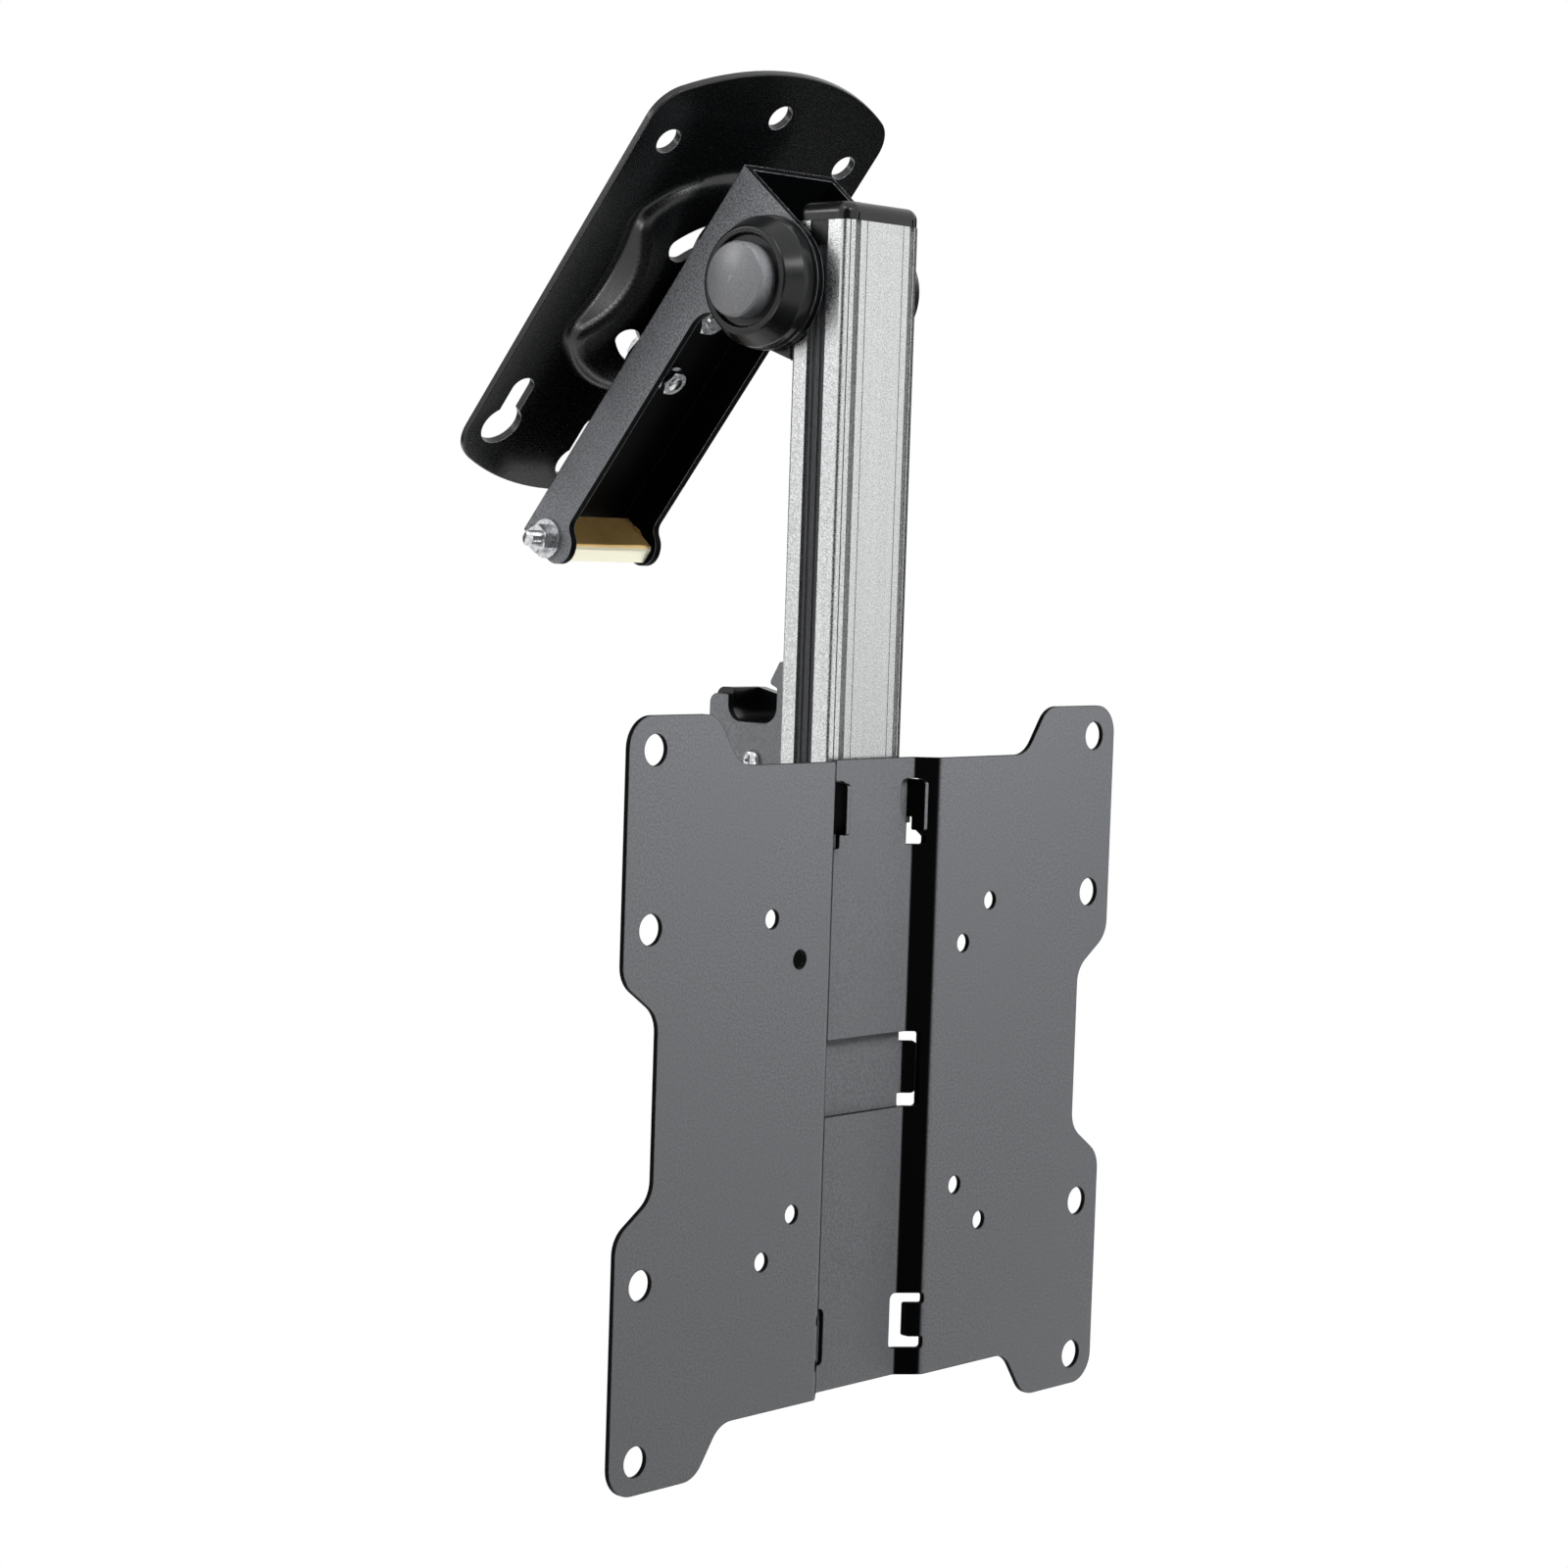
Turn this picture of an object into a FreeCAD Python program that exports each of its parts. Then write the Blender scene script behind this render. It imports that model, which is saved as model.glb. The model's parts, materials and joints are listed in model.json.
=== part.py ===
"""Tilting ceiling mount for a flat screen, hanging from a sloped ceiling.

A pressed ceiling plate carries a swivelling arm channel. An aluminium pole folds about a
hinge in the arm, and a carrier on the pole holds the screen plate by hooks. A sprung catch
at the arm's end meets a barbed bracket on the pole when the pole is folded up.

Millimetres. The row's origin is the centre of the ceiling plate's upper face. +X points
right along the hinge, +Y points back, away from the screen, and +Z points up the pole.

Two working frames keep the sizes plain. Both start on the hinge axis.
Arm frame:  x right, y down along the arm (t), z towards the ceiling (n).
Pole frame: x right, y back, z up the pole.
"""
import FreeCAD, Part
import math
import os

V = FreeCAD.Vector

# Lean of the ceiling plate against the pole, in degrees; the pole hangs plumb
tilt_deg = 39.5

# General gaps
running_gap = 0.05          # shaft in a hole on another body, radial
seat_gap = 0.05             # flat faces of two bodies that slide on each other
curve_gap = 0.2             # curved faces of two bodies that slide on each other
clear_fit = 0.1             # screw or bolt in its own body's hole, radial
edge_round = 0.5            # broken edge of the coated sheets

# Ceiling plate
ceiling_width = 103.0
ceiling_length = 162.6
ceiling_sheet = 2.5
ceiling_end_radius = 96.0
ceiling_corner_radius = 13.0
ceiling_hole_radius = 4.25
ceiling_hole_inset_x = 12.1     # side holes, from the plate's long edge
ceiling_hole_inset_q = 28.8     # side holes, from the plate's top end
ceiling_mid_inset_q = 15.0      # middle hole, from the plate's top end
keyhole_radius = 7.2
keyhole_mid_radius = 6.3
keyhole_slot_width = 8.4
keyhole_rise = 14.5             # from the round's centre up to the slot's end centre
keyhole_inset_q = 24.8          # side keyholes, from the plate's bottom end
keyhole_mid_inset_q = 11.8      # middle keyhole, from the plate's bottom end

# Pressed dish of the ceiling plate
dish_radius = 42.3
dish_depth = 11.8
dish_dome_radius = 100.0
dish_draft_deg = 32.0
dish_waist_radius = 66.0
dish_waist_depth = 9.7          # how far each waist bites into the round foot
dish_waist_round = 12.0
dish_top_round = 4.0
dish_foot_round = 3.0
arc_slot_radius = 25.3
arc_slot_width = 7.5
arc_slot_half_deg = 48.0

# Arm channel
arm_width = 40.6
arm_sheet = 2.5
arm_bend_radius = 1.0
arm_height = 31.5               # hinge axis to the web's outer face
arm_lip_n = 16.5                # hinge axis to the flanges' free edge
arm_top_length = 20.0           # hinge axis to the cut top end
arm_length = 123.2              # hinge axis to the ears' lower end
arm_lobe_radius = 20.0
arm_lobe_blend = 9.7
arm_ear_radius = 6.5
arm_ear_n = 16.6
arm_ear_blend = 4.0
arm_web_setback = 5.5           # web's cut-out, back from the ears' end
arm_web_gap = 2.5               # cut-out's sides to the latch that passes through it
swivel_t = 32.9                 # hinge axis to the swivel bolt, along the arm

# Swivel pad and bolts through the web
pad_thickness = 1.5
pad_width = 30.0
pad_length = 68.0
swivel_bolt_radius = 3.0
swivel_head_radius = 7.5
swivel_head_height = 4.2
lock_bolt_radius = 2.5
lock_head_radius = 5.0
lock_head_height = 3.6
lock_washer_radius = 6.0
washer_sheet = 1.0
web_nut_flat = 8.0
web_nut_height = 2.7
web_washer_radius = 4.6
web_washer_sheet = 0.8
swivel_nut_flat = 10.0
swivel_nut_height = 3.2
swivel_washer_radius = 5.6
web_bolt_end = 0.6              # thread that stands out past a nut on the web

# Hinge
hinge_bolt_radius = 4.0
hinge_head_flat = 13.0
hinge_head_height = 5.3
hinge_nut_height = 6.5
hinge_bolt_end = 2.0
spring_washer_radius = 8.0
spring_washer_sheet = 1.3
spring_washer_seat = 1.2        # flat ring round the bolt, radial
friction_washer_radius = 16.0
friction_washer_sheet = 0.8
cover_radius = 20.0
cover_body_radius = 19.5
cover_foot = 0.8
cover_side = 4.6                # straight side of the cover, above the arm
cover_height = 10.7
cover_rim_radius = 15.0
cover_rim_width = 1.0
cover_recess = 1.6
cover_wall = 1.8
cap_radius = 11.2
cap_height = 16.2               # dome's top above the arm
cap_edge = 15.0                 # dome's edge above the arm
cap_wall = 1.6
cap_lip = 0.9

# Pole, an aluminium extrusion
pole_width = 33.8
pole_depth = 20.75
pole_shoulder = 1.75            # how far the front edge strips slope back to the sides
pole_length = 276.0
pole_top = 18.2                 # above the hinge axis
pole_setback = 7.4              # hinge axis to the pole's back face
pole_corner_radius = 1.1        # back corners
pole_shoulder_radius = 1.7      # where a side meets the sloping front strip
pole_groove_round = 0.25
pole_panel_width = 22.36
pole_groove_width = 2.0
pole_groove_depth = 2.2
pole_core_round = 1.5
pole_line_width = 0.35
pole_line_depth = 0.25
pole_line_inset = 3.0           # fine line on the panel, from the panel's edge
pole_strip_line = 1.65          # fine line on the sloping strip, from the groove
side_slot_width = 7.1
side_slot_depth = 5.0
pole_wall = 2.6
insert_recess = 1.0
insert_rib_depth = 0.5
insert_rib_count = 3
insert_gap = 0.1

# Pole caps
cap_rise = 5.6
cap_round = 3.4
cap_corner_extra = 0.2
cap_line_width = 0.6            # thin groove in the cap's front, in line with the pole's
cap_line_depth = 0.4
cap_line_height = 2.2
cap_tongue = 7.0
cap_plug = 8.0
bottom_cap_rise = 2.5
bottom_cap_round = 0.8

# Hinge bracket on the pole's back
bracket_width = 34.0
bracket_sheet = 2.5
bracket_web_sheet = 2.0
bracket_lobe_radius = 19.0
bracket_foot = 22.8             # lower end of the bracket, below the hinge axis
bracket_screw_top = 13.6        # screws above and below the hinge axis
bracket_screw_low = 17.6
screw_radius = 2.0
screw_head_radius = 4.0
screw_head_height = 1.9

# Screen plate; its centre lies below and in front of the hinge axis
plate_drop = 235.2
plate_forward = 36.2            # hinge axis to the middle of the wings' sheet
plate_sheet = 1.5
plate_half_width = 110.4
plate_half_height = 109.6
plate_mid_half_height = 94.8
plate_side_half_width = 96.0
plate_corner_radius = 9.0
side_notch_inner = 25.6         # half height of the straight part of a side notch
side_notch_outer = 35.7
top_notch_inner = 65.6          # half width of the straight part of the top and bottom notch
top_notch_outer = 75.6
notch_round = 9.0
plate_web_depth = 5.75          # web's middle behind the wings' middle
plate_web_half_width = 17.6
plate_fold_half_width = 24.5
plate_bend_radius = 2.0
vesa_far = 100.0
vesa_half = 50.0
vesa_near = 37.5
vesa_far_radius = 4.5
vesa_near_radius = 2.9
window_low = 11.8
window_high = 11.2
window_half_width = 21.7
hook_slot_inner = 12.5
hook_slot_outer = 21.5
hook_slot_low = 76.5
hook_slot_high = 88.4
hook_neck_low = 68.4
hook_neck_inner = 15.2
hook_neck_mid = 73.0
low_slot_inner = 15.3
low_slot_outer = 24.8
low_slot_top = 69.5
low_slot_bottom = 86.5
low_tongue_top = 72.5
low_tongue_bottom = 83.0
low_tongue_inner = 20.4

# Carrier on the pole
carrier_sheet = 1.5
carrier_top = 92.0              # above the screen plate's centre
carrier_bottom = 18.0           # below the screen plate's centre
carrier_bend_radius = 0.8
carrier_gap = 0.2               # carrier's sides to the pole
carrier_wall_depth = 15.7       # side walls, from the carrier's front to their back edge
carrier_ear_half_height = 8.0
carrier_ear_round = 2.0
carrier_ear_gap = 0.2           # ear's bent end to the plate's slanted wall
carrier_ear_end = 5.0           # length of the bent end
carrier_ear_relief = 3.5        # notch in the fold above and below an ear
carrier_relief_reach = 0.8      # notch's inner side, out from the carrier's flat front
carrier_relief_depth = 5.0
carrier_tongue_low = 88.0       # tongue's lower end, below the screen plate's centre
carrier_tongue_half_width = 16.3
hook_bottom = 74.8
hook_top = 88.2
hook_reach = 7.0                # forward of the carrier's front face
hook_throat = 1.9               # depth of the throat that holds the plate's web
hook_drop = 2.0
carrier_screw_high = 62.0
carrier_screw_low = 26.0
carrier_screw_head = 3.0

# Latch bracket and its cradle, on the pole's back
latch_width = 19.0
latch_sheet = 2.0
latch_top = 122.3               # all heights above the screen plate's centre
latch_tip = 115.6
latch_undercut = 114.2
latch_arm_top = 111.5
latch_notch_floor = 103.3
latch_foot = 66.0
latch_barb_depth = 7.4          # barb's top, behind the pole's back face
latch_tip_depth = 11.4
latch_front_wall = 8.2          # notch's front wall, behind the pole's back face
latch_back_wall = 28.2
latch_depth = 35.9
latch_notch_round = 5.2
latch_arm_round = 3.0
latch_back_round = 8.0
latch_foot_round = 5.0
latch_screw_height = 91.8
latch_screw_depth = 17.4
latch_screw_head = 3.2
latch_web_low = 70.0
latch_web_high = 98.0
latch_web_screw_inset = 6.0     # screws in the latch's web, from its ends
cradle_wall = 1.8
cradle_gap = 0.1
cradle_top = 113.5              # cradle's outer part, between the cheeks
cradle_depth = 35.0
cradle_front_top = 112.2
cradle_end_wall = 3.4           # end wall that closes the trough on the right
cradle_end_dip = 111.8          # lowest point of the end wall's top
cradle_end_dip_depth = 20.5
cradle_foot_rise = 4.0
cradle_foot_round = 3.0

# Catch at the arm's end
catch_t = 118.4                 # catch bolt, along the arm from the hinge axis
catch_n = 20.8
catch_bolt_radius = 2.5
catch_nut_flat = 8.0
catch_nut_height = 4.0
catch_bolt_end = 3.9            # thread that stands out past the nut
catch_washer_radius = 6.3
catch_sheet = 1.2
catch_side_gap = 0.35
catch_wall_t = 113.8
catch_wall_top = 26.8
catch_lip_n = 12.0
catch_lip_end = 120.0
catch_tab_radius = 5.2
catch_bend_radius = 0.6
spring_wire = 0.6
spring_turns = 4
spring_pitch = 0.7
spring_leg = 4.0                # leg that bears on the catch's wall
spring_web_gap = 0.3
spring_bolt_gap = 0.15

# Levels worked out from the sizes above, in the arm frame
web_inner_n = arm_height - arm_sheet
dome_apex_n = arm_height + pad_thickness
plate_front_n = dome_apex_n + dish_depth
ceiling_n = plate_front_n + ceiling_sheet
plate_mid_t = swivel_t + 3.5    # the dish sits a little above the plate's middle
dome_centre_n = dome_apex_n + dish_dome_radius
arm_side = arm_width / 2
arm_inner = arm_side - arm_sheet

# Levels worked out in the pole frame
pole_back = -pole_setback
pole_front = pole_back - pole_depth
shoulder_y = pole_front + pole_shoulder
slot_mid_y = (shoulder_y + pole_back) / 2
pole_strip_x = pole_panel_width / 2 + pole_groove_width
pole_bottom = pole_top - pole_length
pole_side = pole_width / 2
plate_z = -plate_drop
wing_y = -plate_forward
web_back_y = wing_y + plate_web_depth + plate_sheet / 2
bracket_side = bracket_width / 2
carrier_inner = pole_side + carrier_gap
carrier_outer = carrier_inner + carrier_sheet

tilt = math.radians(tilt_deg)
hinge_y = -(plate_mid_t * math.sin(tilt) + ceiling_n * math.cos(tilt))
hinge_z = plate_mid_t * math.cos(tilt) - ceiling_n * math.sin(tilt)
hinge_point = V(0, hinge_y, hinge_z)


def place_on_arm(shape):
    """Turns a shape from the arm frame into the row frame."""
    placed = shape.copy()
    placed.rotate(V(0, 0, 0), V(1, 0, 0), tilt_deg - 90)
    placed.translate(hinge_point)
    return placed


def place_on_pole(shape):
    """Moves a shape from the pole frame into the row frame."""
    placed = shape.copy()
    placed.translate(hinge_point)
    return placed


def block(x0, x1, y0, y1, z0, z1):
    return Part.makeBox(x1 - x0, y1 - y0, z1 - z0, V(x0, y0, z0))


def rod(radius, start, end):
    """A round bar from one point to another."""
    axis = end.sub(start)
    return Part.makeCylinder(radius, axis.Length, start, axis)


def tube(outer, inner, start, end):
    return rod(outer, start, end).cut(rod(inner, start, end))


def hex_bar(flat, start, end):
    """A hexagon bar, its corners turned down a little, as on a nut."""
    axis = end.sub(start)
    corner = flat / math.sqrt(3)
    points = []
    for i in range(7):
        angle = math.radians(60 * i)
        points.append(V(corner * math.cos(angle), corner * math.sin(angle), 0))
    bar = Part.Face(Part.makePolygon(points)).extrude(V(0, 0, axis.Length))
    chamfer = corner - flat / 2
    turned = Part.makeCylinder(corner, axis.Length)
    rims = [e for e in turned.Edges if isinstance(e.Curve, Part.Circle)]
    bar = bar.common(turned.makeChamfer(chamfer * 0.6, chamfer * 0.999, rims))
    bar.rotate(V(0, 0, 0), V(0, 0, 1).cross(axis) if abs(axis.x) + abs(axis.y) > 1e-9 else V(1, 0, 0),
               math.degrees(V(0, 0, 1).getAngle(axis)))
    bar.translate(start)
    return bar


def mirrored(shape):
    return shape.mirror(V(0, 0, 0), V(1, 0, 0))


def outline(corners, plane):
    """A closed wire through corners given as (a, b) or (a, b, radius).

    plane turns the pair (a, b) into a point. A corner with a radius becomes an arc that is
    tangent to both its sides.
    """
    count = len(corners)
    marks = []
    for i in range(count):
        here = V(corners[i][0], corners[i][1], 0)
        radius = corners[i][2] if len(corners[i]) > 2 else 0
        if radius == 0:
            marks.append((here, None, here))
            continue
        before = V(corners[i - 1][0], corners[i - 1][1], 0).sub(here).normalize()
        after = V(corners[(i + 1) % count][0], corners[(i + 1) % count][1], 0).sub(here).normalize()
        half = before.getAngle(after) / 2
        reach = radius / math.tan(half)
        inward = before.add(after).normalize()
        middle = here.add(inward.multiply(radius / math.sin(half) - radius))
        marks.append((here.add(before.multiply(reach)), middle, here.add(after.multiply(reach))))
    edges = []
    for i in range(count):
        start, middle, end = marks[i]
        if middle is not None:
            edges.append(Part.Arc(plane(start.x, start.y), plane(middle.x, middle.y),
                                  plane(end.x, end.y)).toShape())
        following = marks[(i + 1) % count][0]
        if end.distanceToPoint(following) > 1e-6:
            edges.append(Part.LineSegment(plane(end.x, end.y),
                                          plane(following.x, following.y)).toShape())
    return Part.Wire(edges)


def slab(corners, plane, along):
    """A flat piece: an outline with rounded corners, made as thick as the vector along."""
    return Part.Face(outline(corners, plane)).extrude(along)


def turned(profile, axis_start=V(0, 0, 0)):
    """A turned piece about the X axis, from (x, radius) corners with optional rounds."""
    wire = outline(profile, lambda a, b: V(a, b, 0))
    shape = Part.Face(wire).revolve(V(0, 0, 0), V(1, 0, 0), 360)
    shape.translate(axis_start)
    return shape


def edges_where(shape, test):
    return [e for e in shape.Edges if test(e)]


def pan_screw(head_centre, axis, head_radius, head_height, radius, length):
    """A cross-head screw: a domed head with a cross recess, and a plain shank.

    axis points out of the head; the head's underside lies at head_centre.
    """
    axis = V(axis).normalize()
    head = Part.makeCylinder(head_radius, head_height)
    rim = edges_where(head, lambda e: isinstance(e.Curve, Part.Circle) and e.Curve.Center.z > head_height / 2)
    head = head.makeFillet(head_height * 0.7, rim)
    arm_half = head_radius * 0.5
    slit_half = head_radius * 0.13
    depth = head_height * 0.6
    cross = block(-arm_half, arm_half, -slit_half, slit_half, head_height - depth, head_height + 1)
    cross = cross.fuse(block(-slit_half, slit_half, -arm_half, arm_half, head_height - depth,
                             head_height + 1))
    screw = head.cut(cross).fuse(Part.makeCylinder(radius, length, V(0, 0, -length)))
    turn_axis = V(0, 0, 1).cross(axis)
    if turn_axis.Length < 1e-9:
        turn_axis = V(1, 0, 0)
    screw.rotate(V(0, 0, 0), turn_axis, math.degrees(V(0, 0, 1).getAngle(axis)))
    screw.translate(head_centre)
    return screw


def arc_slot(radius, width, centre_deg, half_deg, centre, bottom, top):
    """A slot that follows an arc about a centre in the arm frame, cut through from bottom to top."""
    inner = radius - width / 2
    outer = radius + width / 2

    def at(r, degrees):
        angle = math.radians(degrees)
        return V(centre.x + r * math.sin(angle), centre.y + r * math.cos(angle), bottom)

    def end_point(sign):
        reach = math.radians(centre_deg + sign * half_deg)
        along = math.degrees(width / 2 / radius)
        return at(radius, math.degrees(reach) + sign * along)

    low = centre_deg - half_deg
    high = centre_deg + half_deg
    edges = [
        Part.Arc(at(outer, low), at(outer, centre_deg), at(outer, high)).toShape(),
        Part.Arc(at(outer, high), end_point(1), at(inner, high)).toShape(),
        Part.Arc(at(inner, high), at(inner, centre_deg), at(inner, low)).toShape(),
        Part.Arc(at(inner, low), end_point(-1), at(outer, low)).toShape(),
    ]
    return Part.Face(Part.Wire(edges)).extrude(V(0, 0, top - bottom))


# Ceiling plate

def ceiling_blank():
    """The flat plate: straight long sides and two ends on a large radius, corners rounded."""
    half_w = ceiling_width / 2
    half_l = ceiling_length / 2
    blank = block(-half_w, half_w, plate_mid_t - half_l, plate_mid_t + half_l, plate_front_n, ceiling_n)
    for sign in (1, -1):
        disc_t = plate_mid_t + sign * (half_l - ceiling_end_radius)
        disc = Part.makeCylinder(ceiling_end_radius, ceiling_sheet, V(0, disc_t, plate_front_n))
        blank = blank.common(disc)
    corners = edges_where(blank, lambda e: isinstance(e.Curve, Part.Line)
                          and abs(e.tangentAt(e.FirstParameter).z) > 0.9)
    blank = blank.makeFillet(ceiling_corner_radius, corners)
    rims = edges_where(blank, lambda e: abs(e.BoundBox.ZMax - e.BoundBox.ZMin) < 1e-6)
    return blank.makeFillet(edge_round, rims)


def dish_punch(shrink, dome_radius, foot_n, top_round):
    """The dish as a solid: a drafted round foot with two waists, under a shallow dome."""
    draft = math.tan(math.radians(dish_draft_deg))
    height = foot_n - dome_apex_n + ceiling_sheet
    foot = dish_radius - shrink
    centre = V(0, swivel_t, foot_n)
    body = Part.makeCone(foot, foot - height * draft, height, centre, V(0, 0, -1))
    waist_x = dish_radius - dish_waist_depth + dish_waist_radius
    for sign in (1, -1):
        waist_r = dish_waist_radius + shrink
        waist = Part.makeCone(waist_r, waist_r + height * draft, height, V(sign * waist_x, swivel_t, foot_n),
                              V(0, 0, -1))
        body = body.cut(waist)
    sides = edges_where(body, lambda e: abs(e.BoundBox.ZMax - e.BoundBox.ZMin) > height * 0.9)
    body = body.makeFillet(dish_waist_round, sides)
    body = body.common(Part.makeSphere(dome_radius, V(0, swivel_t, dome_centre_n)))
    top = edges_where(body, lambda e: e.BoundBox.ZMax < foot_n - 0.5)
    return body.makeFillet(top_round, top)


def keyhole(x, t, radius):
    """A keyhole's cutter: a round opening with a narrower slot that runs up from it."""
    rise = keyhole_rise
    half = keyhole_slot_width / 2
    low = plate_front_n - 1
    high = ceiling_n + 1
    cut = rod(radius, V(x, t, low), V(x, t, high))
    cut = cut.fuse(block(x - half, x + half, t - rise, t, low, high))
    return cut.fuse(rod(half, V(x, t - rise, low), V(x, t - rise, high)))


def make_ceiling_plate():
    draft = math.radians(dish_draft_deg)
    shrink = ceiling_sheet / math.cos(draft) - ceiling_sheet * math.tan(draft)
    outer = dish_punch(0, dish_dome_radius, plate_front_n, dish_top_round + ceiling_sheet)
    inner = dish_punch(shrink, dish_dome_radius - ceiling_sheet, ceiling_n, dish_top_round)
    plate = ceiling_blank().fuse(outer).removeSplitter()
    plate = plate.cut(inner)
    foot = edges_where(plate, lambda e: abs(e.BoundBox.ZMax - plate_front_n) < 1e-3
                       and abs(e.BoundBox.ZMin - plate_front_n) < 1e-3
                       and e.BoundBox.XMax < ceiling_width / 2 - 2 and e.BoundBox.XMin > 2 - ceiling_width / 2
                       and e.BoundBox.YMax < swivel_t + dish_radius + 1
                       and e.BoundBox.YMin > swivel_t - dish_radius - 1)
    plate = plate.makeFillet(dish_foot_round, foot)
    low = dome_apex_n - 2
    high = ceiling_n + 2
    half_w = ceiling_width / 2
    top_t = plate_mid_t - ceiling_length / 2
    bottom_t = plate_mid_t + ceiling_length / 2
    hole_x = half_w - ceiling_hole_inset_x
    holes = [(hole_x, top_t + ceiling_hole_inset_q), (-hole_x, top_t + ceiling_hole_inset_q),
             (0, top_t + ceiling_mid_inset_q)]
    for x, t in holes:
        plate = plate.cut(rod(ceiling_hole_radius, V(x, t, low), V(x, t, high)))
    side_t = bottom_t - keyhole_inset_q
    keyholes = [(hole_x, side_t, keyhole_radius), (-hole_x, side_t, keyhole_radius),
                (0, bottom_t - keyhole_mid_inset_q, keyhole_mid_radius)]
    for x, t, radius in keyholes:
        plate = plate.cut(keyhole(x, t, radius))
    centre = V(0, swivel_t, 0)
    for centre_deg in (0, 180):
        plate = plate.cut(arc_slot(arc_slot_radius, arc_slot_width, centre_deg, arc_slot_half_deg,
                                   centre, low, high))
    bore = swivel_bolt_radius + running_gap
    return plate.cut(rod(bore, V(0, swivel_t, low), V(0, swivel_t, high)))


# Arm

def lock_ts():
    """Where the two lock bolts stand along the arm."""
    return (swivel_t - arc_slot_radius, swivel_t + arc_slot_radius)


def blend_between_line_and_circle(line_n, centre_t, centre_n, radius, blend, side):
    """Where a hollow blend meets a level line and a circle below it.

    The blend's circle lies under the line and outside the circle, on the side given.
    Returns the blend's centre and its points on the line and on the circle.
    """
    mid_n = line_n - blend
    reach = math.sqrt((radius + blend) ** 2 - (mid_n - centre_n) ** 2)
    mid_t = centre_t + side * reach
    share = radius / (radius + blend)
    touch = (centre_t + (mid_t - centre_t) * share, centre_n + (mid_n - centre_n) * share)
    return (mid_t, mid_n), (mid_t, line_n), touch


def arc_through(centre, radius, start, end, through_deg, x):
    """An arc in the plane at x, from start to end, passing the given direction."""
    angle = math.radians(through_deg)
    middle = V(x, centre[0] + radius * math.cos(angle), centre[1] + radius * math.sin(angle))
    return Part.Arc(V(x, start[0], start[1]), middle, V(x, end[0], end[1])).toShape()


def arm_side_face(x):
    """The arm's outline seen from the side: web, hinge lobe, free edge and ear."""
    lobe_mid, lobe_line, lobe_touch = blend_between_line_and_circle(
        arm_lip_n, 0, 0, arm_lobe_radius, arm_lobe_blend, 1)
    ear_t = arm_length - arm_ear_radius
    ear_mid, ear_line, ear_touch = blend_between_line_and_circle(
        arm_lip_n, ear_t, arm_ear_n, arm_ear_radius, arm_ear_blend, -1)
    lobe_mid_deg = 90 + math.degrees(math.atan2(lobe_mid[0], arm_lobe_radius + lobe_mid[1])) / 2
    ear_mid_deg = 90 - math.degrees(math.atan2(ear_t - ear_mid[0], arm_ear_n - ear_mid[1])) / 2
    top = -arm_top_length
    edges = [
        Part.LineSegment(V(x, top, arm_height), V(x, top, 0)).toShape(),
        arc_through((0, 0), arm_lobe_radius, (top, 0), lobe_touch, -90, x),
        arc_through(lobe_mid, arm_lobe_blend, lobe_touch, lobe_line, lobe_mid_deg, x),
        Part.LineSegment(V(x, lobe_line[0], arm_lip_n), V(x, ear_line[0], arm_lip_n)).toShape(),
        arc_through(ear_mid, arm_ear_blend, ear_line, ear_touch, ear_mid_deg, x),
        arc_through((ear_t, arm_ear_n), arm_ear_radius, ear_touch, (arm_length, arm_ear_n), -80, x),
        Part.LineSegment(V(x, arm_length, arm_ear_n), V(x, arm_length, arm_height)).toShape(),
        Part.LineSegment(V(x, arm_length, arm_height), V(x, top, arm_height)).toShape(),
    ]
    return Part.Face(Part.Wire(edges))


def make_arm_channel():
    low = -arm_lobe_radius - 1
    inner_bend = max(arm_bend_radius - arm_sheet, 0.4)
    section = [(-arm_side, low), (arm_side, low), (arm_side, arm_height, arm_bend_radius),
               (-arm_side, arm_height, arm_bend_radius)]
    hollow = [(-arm_inner, low - 1), (arm_inner, low - 1), (arm_inner, web_inner_n, inner_bend),
              (-arm_inner, web_inner_n, inner_bend)]
    run = arm_top_length + arm_length

    def across(a, b):
        return V(a, -arm_top_length, b)

    channel = slab(section, across, V(0, run, 0)).cut(slab(hollow, across, V(0, run, 0)))
    channel = channel.common(arm_side_face(-arm_side).extrude(V(arm_width, 0, 0)))
    gap_half = latch_width / 2 + arm_web_gap
    channel = channel.cut(block(-gap_half, gap_half, arm_length - arm_web_setback, arm_length + 1,
                                web_inner_n - 1, arm_height + 1))
    reach = arm_side + 1
    channel = channel.cut(rod(hinge_bolt_radius + clear_fit, V(-reach, 0, 0), V(reach, 0, 0)))
    channel = channel.cut(rod(catch_bolt_radius + clear_fit, V(-reach, catch_t, catch_n),
                              V(reach, catch_t, catch_n)))
    channel = channel.cut(rod(swivel_bolt_radius + clear_fit, V(0, swivel_t, web_inner_n - 1),
                              V(0, swivel_t, arm_height + 1)))
    for t in lock_ts():
        channel = channel.cut(rod(lock_bolt_radius + clear_fit, V(0, t, web_inner_n - 1),
                                  V(0, t, arm_height + 1)))
    return channel


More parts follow.
